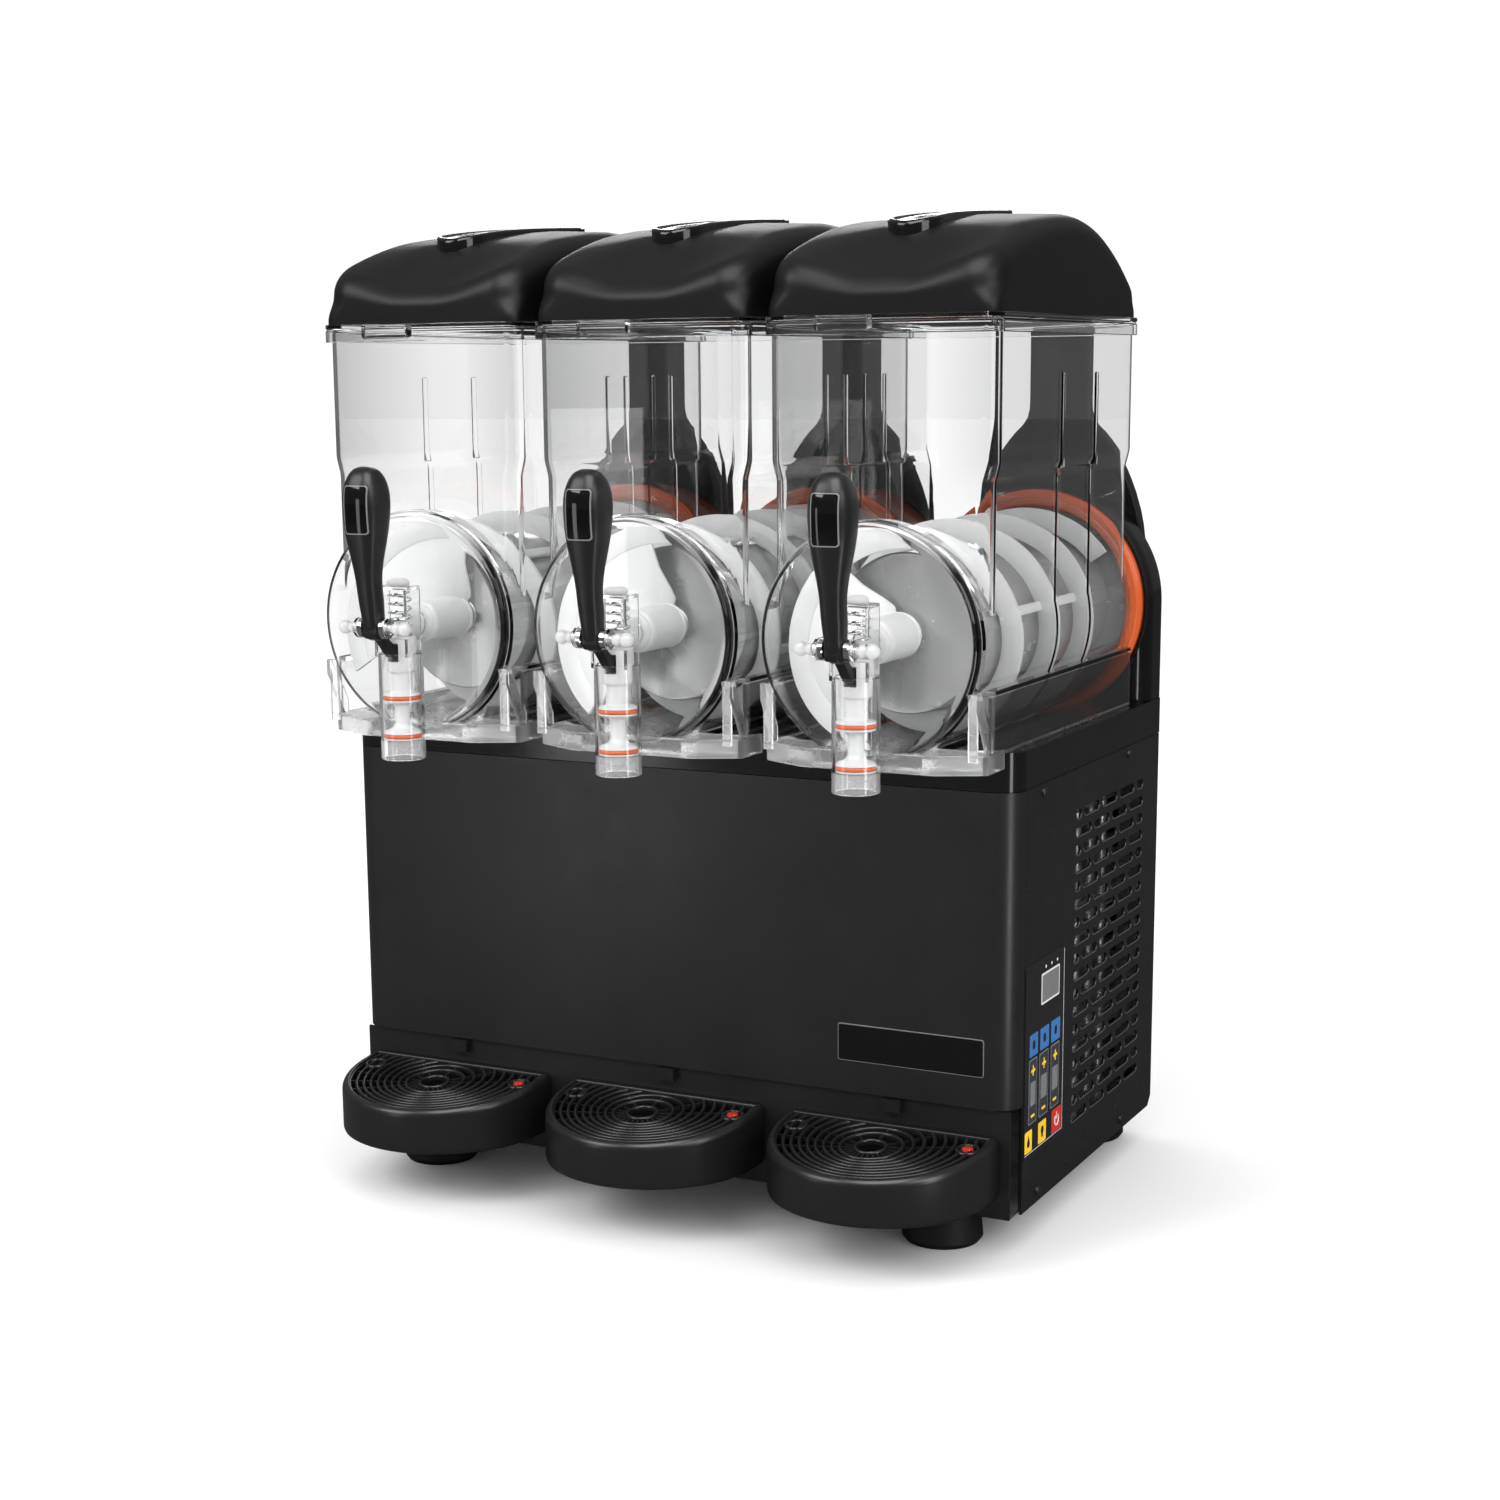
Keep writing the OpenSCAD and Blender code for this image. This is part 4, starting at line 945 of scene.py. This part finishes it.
def auger_mesh(tip):
    m = Mesh()

    def strip(r0, r1, t0, t1, y0, th, step=6.0, c=0.9):
        k = int(round((t1 - t0) / step))
        rings = []
        for i in range(k + 1):
            t = t0 + (t1 - t0) * i / k
            # soften the corners of the advance
            y = (advance(t - 8) + advance(t) + advance(t + 8)) / 3.0 + y0 if 8 < t < 1306 else advance(t) + y0
            a = math.radians(tip - t)
            rr0 = r0(t) if callable(r0) else r0
            prof = [(rr0, 0.6 * c), (rr0 + c, 0), (r1 - c, 0), (r1 - 0.25 * c, 0.25 * c), (r1, c), (r1, th - c), (r1 - 0.25 * c, th - 0.25 * c), (r1 - c, th), (rr0 + c, th), (rr0, th - 0.6 * c)]
            rings.append([(r * math.cos(a), y + q, AXIS + r * math.sin(a)) for r, q in prof])
        m.loft(rings)

    strip(65.0, 82.0, 0, 1314, 0, 4)
    # broad blade; its trailing edge flares into the hub
    def inner(t):
        return 12.0 if t < 138 else 12.0 + (t - 138) * 0.9
    strip(lambda t: 12.0, 66.5, 0, 138, 0.8, 2.4, 3.0, 0.5)
    # flared root of the blade's trailing edge
    rings = []
    for i in range(9):
        t = 138 + i * 3.2
        r1 = 62 - 40.0 * (i / 8.0) ** 0.45
        y = advance(t) + 0.8
        a = math.radians(tip - t)
        rings.append([(r * math.cos(a), y + q, AXIS + r * math.sin(a)) for r, q in ((12, 0), (max(r1, 14), 0), (max(r1, 14), 2.4), (12, 2.4))])
    m.loft(rings)
    for b in (76, 166, 256, 346):
        y0, y1 = advance(b) + 0.6, advance(b + 360 * ((1300 - b) // 360)) + 3
        a = math.radians(tip - b)
        u, w = Vector((math.cos(a), 0, math.sin(a))), Vector((-math.sin(a), 0, math.cos(a)))
        sec = rrect(65.5, -4, 69.5, 4, 1.2, 3)
        rings = []
        for y in (y0, y1):
            rings.append([(u.x * r + w.x * s, y, AXIS + u.z * r + w.z * s) for r, s in sec])
        m.loft(rings)
    # nose hub, stepped, closed at the front
    m.lathe([(0, -48.4), (9.6, -48.4), (10.8, -47.4), (10.8, -43.2), (12.8, -42.6), (14.4, -41.2), (14.8, -39.4), (15.9, -38.6), (17, -36.8), (17.2, -34), (17.2, 8.6), (17.0, 9.6), (17.6, 10.2), (17.6, 13.2), (16.8, 14), (7.1, 14), (7.1, -36), (0, -36)], 72, "y", (0, 0, AXIS))
    return m.build("auger")


def seal_mesh():
    prof = [(84.0, 292.6), (93.6, 292.6), (95.2, 293.3), (95.6, 294.6), (95.2, 295.6), (93.2, 296.4), (92.4, 297.5), (93.2, 298.6), (95.4, 299.4), (96.0, 300.8), (96.0, 302.4), (95.4, 303.6), (93.2, 304.4), (92.4, 305.4), (93.2, 306.4), (95.0, 307.2), (95.5, 308.4), (95.5, 311.9), (80.2, 311.9), (80.2, 307.8), (84.0, 307.4), (84.0, 292.6)]
    return Mesh().lathe(prof, 128, "y", (0, 0, AXIS)).build("seal")


def drum_mesh():
    prof = [(8.2, 23.2), (12.6, 23.2), (13.4, 24.0), (15.4, 24.2), (58.6, 24.0), (60.8, 24.5), (61.7, 25.6), (62, 27.2), (62, 308), (80, 308), (80, 311.9), (39.5, 311.9), (39.5, 317.9), (8.2, 317.9), (8.2, 23.2)]
    return Mesh().lathe(prof, 128, "y", (0, 0, AXIS)).build("drum")


SEAL_ME, DRUM_ME = seal_mesh(), drum_mesh()
for n, x in STATIONS:
    obj("auger_paddle_%d" % n, auger_mesh(TIP[n]), "auger_white", "auger_%d" % n, "auger_%d" % n, x, smooth=40)
    obj("bowl_seal_%d" % n, SEAL_ME, "orange_silicone", "cabinet", "drum_seals", x, smooth=50)
    obj("drum_%d" % n, DRUM_ME, "drum_steel", "cabinet", "evaporator_drums", x, smooth=30)


# ------------------------------------------------------------------ cabinet
def deck_mesh():
    base = solid(Mesh().prism(rrect(-300, 0, 300, 352, (6, 6, 20, 20), 8), 361, 390.9))
    cuts = [solid(Mesh().lathe([(0, -3), (96.2, -3), (96.2, 312), (0, 312)], 96, "y", (x, 0, AXIS))) for x in (-200, 0, 200)]
    me = combine(base, [], cuts)
    ob = bpy.data.objects.new("tmp", me)
    scene.collection.objects.link(ob)
    b = ob.modifiers.new("bevel", "BEVEL")
    b.width = 0.0028
    b.segments = 4
    b.limit_method = "ANGLE"
    b.angle_limit = math.radians(35)
    return applied(ob)


def housing_mesh():
    m = Mesh()
    r, R = 98.5, 17.0
    corner = [(r - R + R * math.cos(math.radians(a)), 312 + R - R * math.sin(math.radians(a))) for a in range(90, -1, -9)]
    for x in (-200, 0, 200):
        # upper half: quarter round front edge turned about the auger's axis
        prof = [(41, 318), (41, 312.0)] + corner + [(r, 349.5), (r - 2.5, 352), (0, 352)]
        m.lathe(prof, 72, "y", (x, 0, AXIS), 0, 180)
        # lower half: the same corner carried straight down
        sec = [(-q, y) for q, y in reversed(corner)] + corner + [(r, 349.5), (r - 2.5, 352), (-r + 2.5, 352), (-r, 349.5)]
        m.prism([(x + a, b) for a, b in sec], 391.2, AXIS + 0.02)
    # web between the arches
    m.box(-120, 330, 391.2, 120, 350, AXIS - 4)
    return m.build("housing")


def lip_mesh():
    m = Mesh()
    for x in (-200, 0, 200):
        a0 = math.degrees(math.asin((391.5 - AXIS) / 97.5))
        m.lathe([(96.6, 312.4), (96.6, 307.2), (97.0, 306.3), (97.6, 306.2), (98.1, 307.0), (98.2, 312.4)], 96, "y", (x, 0, AXIS), a0, 180 - a0)
    return m.build("housing_lip")


def column_mesh():
    m = Mesh()
    half = [(80, 391.2), (80, 500), (79, 520), (76.5, 538), (74, 550), (71.5, 558), (69, 566), (65, 576), (61, 585), (57.5, 591), (54, 598), (50, 603.5), (45, 610), (39, 617), (33, 622.5), (28.6, 629), (26.8, 636), (26.5, 645), (26.5, 709), (24.5, 712)]
    for x in (-200, 0, 200):
        outline = [(x + a, z) for a, z in half] + [(x - a, z) for a, z in reversed(half)]
        m.prism(outline, 352, 366, "y")
    return m.build("columns")


DECK_ME, HOUSING_ME, LIP_ME, COLUMN_ME = deck_mesh(), housing_mesh(), lip_mesh(), column_mesh()
obj("deck_moulding", DECK_ME, "deck_plastic", "cabinet", "top_deck", 0, smooth=40, weighted=True)
obj("housing_moulding", HOUSING_ME, "deck_plastic", "cabinet", "motor_housing", 0, smooth=40)
obj("housing_lips", LIP_ME, "deck_plastic", "cabinet", (), 0, smooth=50)
obj("column_mouldings", COLUMN_ME, "column_gloss", "cabinet", "rear_columns", 0, smooth=40, bevel=2.0, segs=4, weighted=True)


# front panel: plan outline of the rolled sheet, drawn up, with a folded hem
def panel_mesh():
    m = Mesh()
    out, inn = [], []
    for k in range(15):
        a = math.radians(180 + 90 * k / 14)
        out.append((-280 + 20 * math.cos(a), 20 + 20 * math.sin(a)))
        inn.append((-280 + 18 * math.cos(a), 20 + 18 * math.sin(a)))
    out += [(-x, y) for x, y in reversed(out)]
    inn += [(-x, y) for x, y in reversed(inn)]
    sec = out + inn[::-1]
    zs = [(0.5, 115.0), (0.0, 115.5), (0.0, 360.0), (0.5, 360.5)]
    n = len(out)
    rings = []
    for o, z in zs:
        ring = []
        for i, (x, y) in enumerate(sec):
            if i < n:
                ring.append((x, y, z))
            else:
                ring.append((x, y, z))
        rings.append(ring)
    m.loft(rings)
    return m.build("front_sheet")


PANEL_ME = panel_mesh()
obj("front_sheet", PANEL_ME, "painted_black", "cabinet", "front_panel", 0, smooth=30)
# bare badge plate: a dark backing with a fine bright edge and a glossy face
edge = Mesh().prism(rrect(154, 140, 276, 170, 2.0, 5), -0.55, 0.02, "y").build("badge_edge")
face = Mesh().prism(rrect(154.7, 140.7, 275.3, 169.3, 1.6, 5), -0.98, -0.3, "y").build("badge_face")
obj("badge_edge", edge, "badge_rim", "cabinet", (), 0, smooth=30, bevel=0.25, segs=2)
obj("badge_face", face, "badge_gloss", "cabinet", (), 0, smooth=30, bevel=0.3, segs=2)
hem = Mesh().box(-279, 2.0, 115.3, 279, 3.0, 129).build("hem")
obj("front_hem", hem, "painted_black", "cabinet", (), 0, smooth=30)


# the slots are punched from outside, which leaves a fine rolled edge along the lower side of each; these edges are a
# lighter grey than the panel, a painted highlight
lips = Mesh()
for k in range(18):
    zc = 323.5 - 14.7 * k
    row = [(152 + 45 * q, min(189 + 45 * q, 303)) if k % 2 == 0 else (133 + 45 * q, min(170 + 45 * q, 303)) for q in range(4)]
    if k % 2 == 0:
        row.append((133, 145))
    for a, b in row:
        pts = [(a + 4 + 4.1 * math.cos(math.radians(t)), zc + 4.1 * math.sin(math.radians(t))) for t in range(190, 271, 16)]
        pts += [(b - 4 + 4.1 * math.cos(math.radians(t)), zc + 4.1 * math.sin(math.radians(t))) for t in range(270, 351, 16)]
        for sx in (-1, 1):
            lips.tube([(sx * 299.9, y, z) for y, z in pts], 0.5, 6)
obj("vent_lips", lips.build("vent_lips"), "vent_lip_highlight", "cabinet", (), 0, smooth=60)


# ------------------------------------------------------------------ control film on the right side
def patch(name, y0, z0, y1, z1, mat, lift, r=1.4, thick=0.3, soft=0.12):
    me = Mesh().prism(rrect(y0, z0, y1, z1, r, 5), 300.62 + lift - thick, 300.62 + lift, "x").build(name)
    obj(name, me, mat, "cabinet", (), 0, smooth=30, bevel=soft, segs=2)


film_me = Mesh().prism(rrect(23, 69, 111.5, 224, 2.5, 6), 300.0, 300.5, "x").build("film_sheet")
obj("film_sheet", film_me, "film", "cabinet", "control_film", 0, smooth=30)
line = Mesh()
for y0, z0, y1, z1 in ((108.9, 73.5, 109.7, 221.0), (25.0, 73.0, 109.7, 73.6)):
    line.box(300.5, y0, z0, 300.54, y1, z1)
obj("film_line", line.build("film_line"), "film_line", "cabinet", (), 0)
patch("film_display_frame", 57.5, 186.2, 98.5, 211.0, "key_frame", 0.0)
patch("film_display", 59.2, 187.8, 96.8, 209.4, "display", 0.08)
for k, y in enumerate((67, 80, 93)):
    me = Mesh().lathe([(0, 300.4), (1.3, 300.4), (1.3, 300.62), (0.9, 300.74), (0, 300.78)], 20, "x", (0, y, 215.4)).build("led")
    obj("film_led_%d" % k, me, "key_frame", "cabinet", (), 0)
for k, (a, b) in enumerate(((33, 51), (56.3, 75.8), (81, 101.2))):
    patch("film_blue_%d" % k, a, 150.0, b, 167.6, "key_blue", 0.06)
    patch("film_blue_mark_%d" % k, (a + b) / 2 - 3.0, 155.2, (a + b) / 2 + 3.0, 162.4, "key_dark", 0.1, 2.4, 0.3, 0.05)
for k, (a, b) in enumerate(((33, 49), (56, 74.5), (82, 99.6))):
    c = (a + b) / 2
    patch("film_bar_edge_%d" % k, a - 0.9, 96.1, b + 0.9, 147.9, "key_grey", 0.0)
    patch("film_bar_%d" % k, a, 97.0, b, 147.0, "key_slate", 0.04)
    patch("film_bar_mid_%d" % k, a + 2.4, 110.5, b - 2.4, 129.5, "key_grey", 0.08, 1.0)
    sign = Mesh()
    sign.prism(rrect(c - 4.2, 137.4, c + 4.2, 139.6, 0.5, 3), 300.5, 300.76, "x")
    sign.prism(rrect(c - 1.1, 134.3, c + 1.1, 142.7, 0.5, 3), 300.5, 300.75, "x")
    sign.prism(rrect(c - 4.0, 101.2, c + 4.0, 103.4, 0.5, 3), 300.5, 300.76, "x")
    obj("film_sign_%d" % k, sign.build("sign"), "key_yellow", "cabinet", (), 0)
patch("film_yellow_0", 24.6, 74.6, 40.4, 92.0, "key_yellow", 0.06)
patch("film_yellow_1", 54.6, 74.6, 72.0, 92.0, "key_yellow", 0.06)
patch("film_red", 85.2, 74.2, 106.8, 93.6, "key_red", 0.06)
# generic marks on the lower keys: a drop, a bulb outline and a power ring
drop = Mesh().prism([(32.5 + 3.0 * math.cos(math.radians(a)), 81.6 + 3.0 * math.sin(math.radians(a))) for a in range(-220, 41, 20)] + [(32.5, 88.6)], 300.5, 300.76, "x")
obj("film_drop", drop.build("drop"), "key_dark", "cabinet", (), 0)
bulb = Mesh().prism([(63.3 + 3.2 * math.cos(math.radians(a)), 84.8 + 3.2 * math.sin(math.radians(a))) for a in range(-60, 241, 20)] + [(61.6, 79.0), (65.0, 79.0)], 300.5, 300.76, "x")
obj("film_bulb", bulb.build("bulb"), "key_dark", "cabinet", (), 0)
power = Mesh()
ring = []
for a in range(-235, 56, 10):
    ring.append((300.68, 96 + 4.2 * math.cos(math.radians(a)), 83.6 + 4.2 * math.sin(math.radians(a))))
power.tube(ring, 0.55, 8)
power.box(300.5, 95.5, 84.5, 300.78, 96.5, 90.2)
obj("film_power", power.build("power"), "key_pale", "cabinet", (), 0)


# ------------------------------------------------------------------ drip trays
TILT = math.tan(math.radians(6.4))
TY = -20.0


def tray_outline(o, r=88.7, back=3.0, rc=4.0, n=56):
    """Half round front, straight sides, small rear corners; o is how far inside the rim."""
    rr = r - o
    b = back - o
    c = max(rc - o, 0.6)
    pts = [(rr * math.cos(math.radians(180 + 180 * k / n)), TY + rr * math.sin(math.radians(180 + 180 * k / n))) for k in range(n + 1)]
    for k in range(7):
        a = math.radians(90 * k / 6)
        pts.append((rr - c + c * math.cos(a), b - c + c * math.sin(a)))
    for k in range(7):
        a = math.radians(90 + 90 * k / 6)
        pts.append((-rr + c + c * math.cos(a), b - c + c * math.sin(a)))
    return pts


def tray_z(y, dz=0.0):
    return 94.45 - (3.0 - y) * TILT + dz


def tray_mesh():
    m = Mesh()
    rings = []
    for o, z in ((5.0, 45.0), (2.4, 45.3), (0.9, 46.2), (0.2, 47.8), (0.0, 50.0)):
        rings.append([(x, y, z) for x, y in tray_outline(o)])
    for o, dz in ((0.0, -6.2), (0.15, -4.6), (0.7, -3.0), (1.6, -1.6), (2.8, -0.6), (4.0, -0.12), (5.2, 0.0), (5.9, -0.15), (6.3, -0.7), (6.35, -1.6), (6.35, -9.0)):
        rings.append([(x, y, tray_z(y, dz)) for x, y in tray_outline(o)])
    for o, z in ((6.4, 54.0), (8.5, 50.5), (12.0, 49.2)):
        rings.append([(x, y, z) for x, y in tray_outline(o)])
    m.loft(rings)
    return m.build("tray")


def grille_mesh():
    m = Mesh()
    sec = [(-1.3, -4.2), (1.3, -4.2), (1.5, -1.9), (1.42, -1.1), (1.1, -0.45), (0.5, -0.08), (-0.5, -0.08), (-1.1, -0.45), (-1.42, -1.1), (-1.5, -1.9)]
    back = 0.6

    def arc(cy, r, a0, a1, n, closed=False):
        rings = []
        for k in range(n + (0 if closed else 1)):
            a = math.radians(a0 + (a1 - a0) * k / n)
            cx, sy = math.cos(a), math.sin(a)
            rings.append([((r + q) * cx, cy + (r + q) * sy, tray_z(cy + (r + q) * sy, -1.4 + h)) for q, h in sec])
        m.loft(rings, caps=not closed, loop=closed)

    # rim of the grille
    for k in range(9):
        r, cy = 82.2 - 7.25 * k, -20 - 2.4 * k
        if cy + r < back:
            arc(cy, r, 0, 360, 90, True)
        else:
            a = math.degrees(math.asin(min(1.0, (back - cy) / r)))
            arc(cy, r, 180 - a, 360 + a, 90)
    # hub with the centre hole
    arc(-40.6, 12.0, 0, 360, 48, True)
    # bar along the back
    rings = []
    for x in (-79.5, 79.5):
        rings.append([(x, back + q, tray_z(back, -1.4 + h)) for q, h in sec])
    m.loft(rings)
    # bosses at the two corners
    for x in (-72, 72):
        prof = [(6.6, -7.0), (9.6, -7.0), (9.8, -1.4), (9.4, -0.5), (8.8, -0.1), (7.4, -0.1), (6.8, -0.5), (6.6, -1.4), (6.6, -7.0)]
        k0 = len(m.v)
        m.lathe(prof, 40, "z", (x, -22, 0))
        m.v[k0:] = [(a, b, c + tray_z(b, -1.2)) for a, b, c in m.v[k0:]]
    # thin radial ribs below the bars
    for a in [180 + 15 * i for i in range(13)]:
        c, s = math.cos(math.radians(a)), math.sin(math.radians(a))
        rings = []
        far = 1.0
        p0 = Vector((11.5 * c, -40.6 + 11.5 * s))
        # reach the rim circle
        d = Vector((c, s))
        o = Vector((0, TY))
        rel = p0 - o
        bq = rel.dot(d)
        t = -bq + math.sqrt(max(0.0, bq * bq - (rel.length_squared - 81.5 ** 2)))
        for q in (0.0, t):
            p = p0 + d * q
            nx, ny = -s, c
            rings.append([(p.x + nx * w, p.y + ny * w, tray_z(p.y + ny * w, h)) for w, h in ((-0.9, -6.4), (0.9, -6.4), (0.7, -3.4), (-0.7, -3.4))])
        m.loft(rings)
    for x in (-0.0,):
        rings = []
        for y in (-29.0, back):
            rings.append([(x + w, y, tray_z(y, h)) for w, h in ((-0.9, -6.4), (0.9, -6.4), (0.7, -3.4), (-0.7, -3.4))])
        m.loft(rings)
    for sx in (-1, 1):
        for a in (20, 45):
            c, s = sx * math.cos(math.radians(a)), math.sin(math.radians(a))
            t = min((back + 40.6) / s, 80.0)
            rings = []
            for q in (11.5, t):
                px, py = q * c, -40.6 + q * s
                if abs(px) > 78:
                    px = math.copysign(78, px)
                nx, ny = -s, c
                rings.append([(px + nx * w, min(py + ny * w, back), tray_z(min(py + ny * w, back), h)) for w, h in ((-0.9, -6.4), (0.9, -6.4), (0.7, -3.4), (-0.7, -3.4))])
            m.loft(rings)
    return m.build("grille")


def float_mesh():
    prof = [(0, 49.0), (7.5, 49.0), (9.0, 50.5), (9.0, 59.5), (7.5, 61), (4.5, 61.4), (4.5, 84.6), (4.2, 86.0), (4.5, 86.3), (4.6, 87.2), (4.6, 89.6), (4.1, 90.6), (2.8, 91.15), (0, 91.25)]
    m = Mesh().lathe(prof, 36, "z", (72, -22, 0))
    return m.build("float")


TRAY_ME, GRILLE_ME, FLOAT_ME = tray_mesh(), grille_mesh(), float_mesh()
for n, x in STATIONS:
    obj("tray_bin_%d" % n, TRAY_ME, "tray_plastic", "tray_%d" % n, "drip_tray_%d" % n, x, smooth=40)
    obj("grille_%d" % n, GRILLE_ME, "tray_plastic", "grille_%d" % n, "tray_grille_%d" % n, x, smooth=50)
    obj("float_button_%d" % n, FLOAT_ME, "red_plastic", "float_%d" % n, "tray_float_%d" % n, x, smooth=40)


# ------------------------------------------------------------------ stage and light
def stage():
    me = bpy.data.meshes.new("floor")
    s = 30
    me.from_pydata([(-s, -s, 0), (s, -s, 0), (s, s, 0), (-s, s, 0)], [], [(0, 1, 2, 3)])
    ob = bpy.data.objects.new("floor", me)
    scene.collection.objects.link(ob)
    m, nt, b, out = new_mat("floor")
    nt.links.new(ramp(nt, noise(nt, 3, 2), 0.3, 0.7, (0.89, 0.89, 0.89), (0.91, 0.91, 0.91)), b.inputs["Base Color"])
    b.inputs["Roughness"].default_value = 0.7
    b.inputs["Specular IOR Level"].default_value = 0.0
    # the sweep is bright to look at and dim in reflections, as in a tented studio
    lp = nt.nodes.new("ShaderNodeLightPath")
    low = nt.nodes.new("ShaderNodeBsdfDiffuse")
    low.inputs[0].default_value = (0.2, 0.2, 0.2, 1)
    mx = nt.nodes.new("ShaderNodeMixShader")
    once = nt.nodes.new("ShaderNodeMath")
    once.operation = "MINIMUM"
    once.inputs[1].default_value = 1.0
    nt.links.new(lp.outputs["Glossy Depth"], once.inputs[0])
    nt.links.new(once.outputs[0], mx.inputs[0])
    half = nt.nodes.new("ShaderNodeBsdfDiffuse")
    half.inputs[0].default_value = (0.75, 0.75, 0.75, 1)
    mh = nt.nodes.new("ShaderNodeMixShader")
    nt.links.new(lp.outputs["Is Transmission Ray"], mh.inputs[0])
    nt.links.new(low.outputs[0], mh.inputs[1])
    nt.links.new(half.outputs[0], mh.inputs[2])
    nt.links.new(b.outputs[0], mx.inputs[1])
    nt.links.new(mh.outputs[0], mx.inputs[2])
    nt.links.new(mx.outputs[0], out.inputs[0])
    me.materials.append(m)
    w = bpy.data.worlds.new("studio")
    w.use_nodes = True
    nt = w.node_tree
    bg = nt.nodes["Background"]
    # brighter overhead than at the horizon, where it meets the floor
    sep = nt.nodes.new("ShaderNodeSeparateXYZ")
    nt.links.new(nt.nodes.new("ShaderNodeTexCoord").outputs["Generated"], sep.inputs[0])
    nt.links.new(ramp(nt, remap(nt, sep.outputs[2], 0, 1, 0, 0.6), 0.0, 1.0, (0.812, 0.812, 0.812), (1, 1, 1)), bg.inputs[0])
    bg.inputs[1].default_value = 1.26
    # mirror-like finishes see a dim studio, everything else the white sweep
    dim = nt.nodes.new("ShaderNodeBackground")
    nt.links.new(ramp(nt, remap(nt, sep.outputs[2], 0, 1, 0.15, 0.85), 0.0, 1.0, (0.12, 0.12, 0.12), (0.32, 0.32, 0.32)), dim.inputs[0])
    dim.inputs[1].default_value = 1.0
    lp = nt.nodes.new("ShaderNodeLightPath")
    mx = nt.nodes.new("ShaderNodeMixShader")
    once = nt.nodes.new("ShaderNodeMath")
    once.operation = "MINIMUM"
    once.inputs[1].default_value = 1.0
    nt.links.new(lp.outputs["Glossy Depth"], once.inputs[0])
    nt.links.new(once.outputs[0], mx.inputs[0])
    half = nt.nodes.new("ShaderNodeBackground")
    nt.links.new(ramp(nt, remap(nt, sep.outputs[2], 0, 1, 0.03, 0.30), 0.0, 1.0, (0.24, 0.24, 0.24), (0.85, 0.85, 0.85)), half.inputs[0])
    half.inputs[1].default_value = 1.0
    mh = nt.nodes.new("ShaderNodeMixShader")
    nt.links.new(lp.outputs["Is Transmission Ray"], mh.inputs[0])
    nt.links.new(dim.outputs[0], mh.inputs[1])
    nt.links.new(half.outputs[0], mh.inputs[2])
    nt.links.new(bg.outputs[0], mx.inputs[1])
    nt.links.new(mh.outputs[0], mx.inputs[2])
    nt.links.new(mx.outputs[0], nt.nodes["World Output"].inputs[0])
    scene.world = w

    def area(name, loc, target, size, power, size_y=None, sheen=False):
        l = bpy.data.lights.new(name, "AREA")
        l.energy = power
        l.size = size
        if size_y:
            l.shape = "RECTANGLE"
            l.size_y = size_y
        o = bpy.data.objects.new(name, l)
        scene.collection.objects.link(o)
        o.location = loc
        d = Vector(target) - Vector(loc)
        o.rotation_euler = d.to_track_quat("-Z", "Y").to_euler()
        o.visible_camera = False
        if sheen:
            o.visible_diffuse = False

    area("key", (-1.8, -2.2, 2.4), (0, 0, 0.4), 1.6, 45)
    area("fill", (2.4, -1.2, 1.6), (0, 0, 0.4), 1.4, 22)
    # long strip behind, which catches the glossy grips on the lids
    area("strip", (-1.1, 2.4, 1.55), (0, 0.1, 0.78), 1.6, 9, 0.25, True)
    # low card beside the front right corner, which draws the bright line up its rolled edge
    area("card", (0.80, -0.38, 0.19), (0.30, -0.12, 0.22), 0.12, 0.9, 0.40, True)
    # soft box above the front, which lights the upper edges of the tray bars
    area("top", (0.47, -1.12, 2.04), (0, -0.15, 0.1), 1.5, 42, None, True)
    # upright card low down to the left, seen as a soft band in the middle of the front panel
    area("band", (-0.574, -1.017, 0.28), (-0.06, -0.12, 0.25), 0.16, 0.75, 0.7, True)


stage()
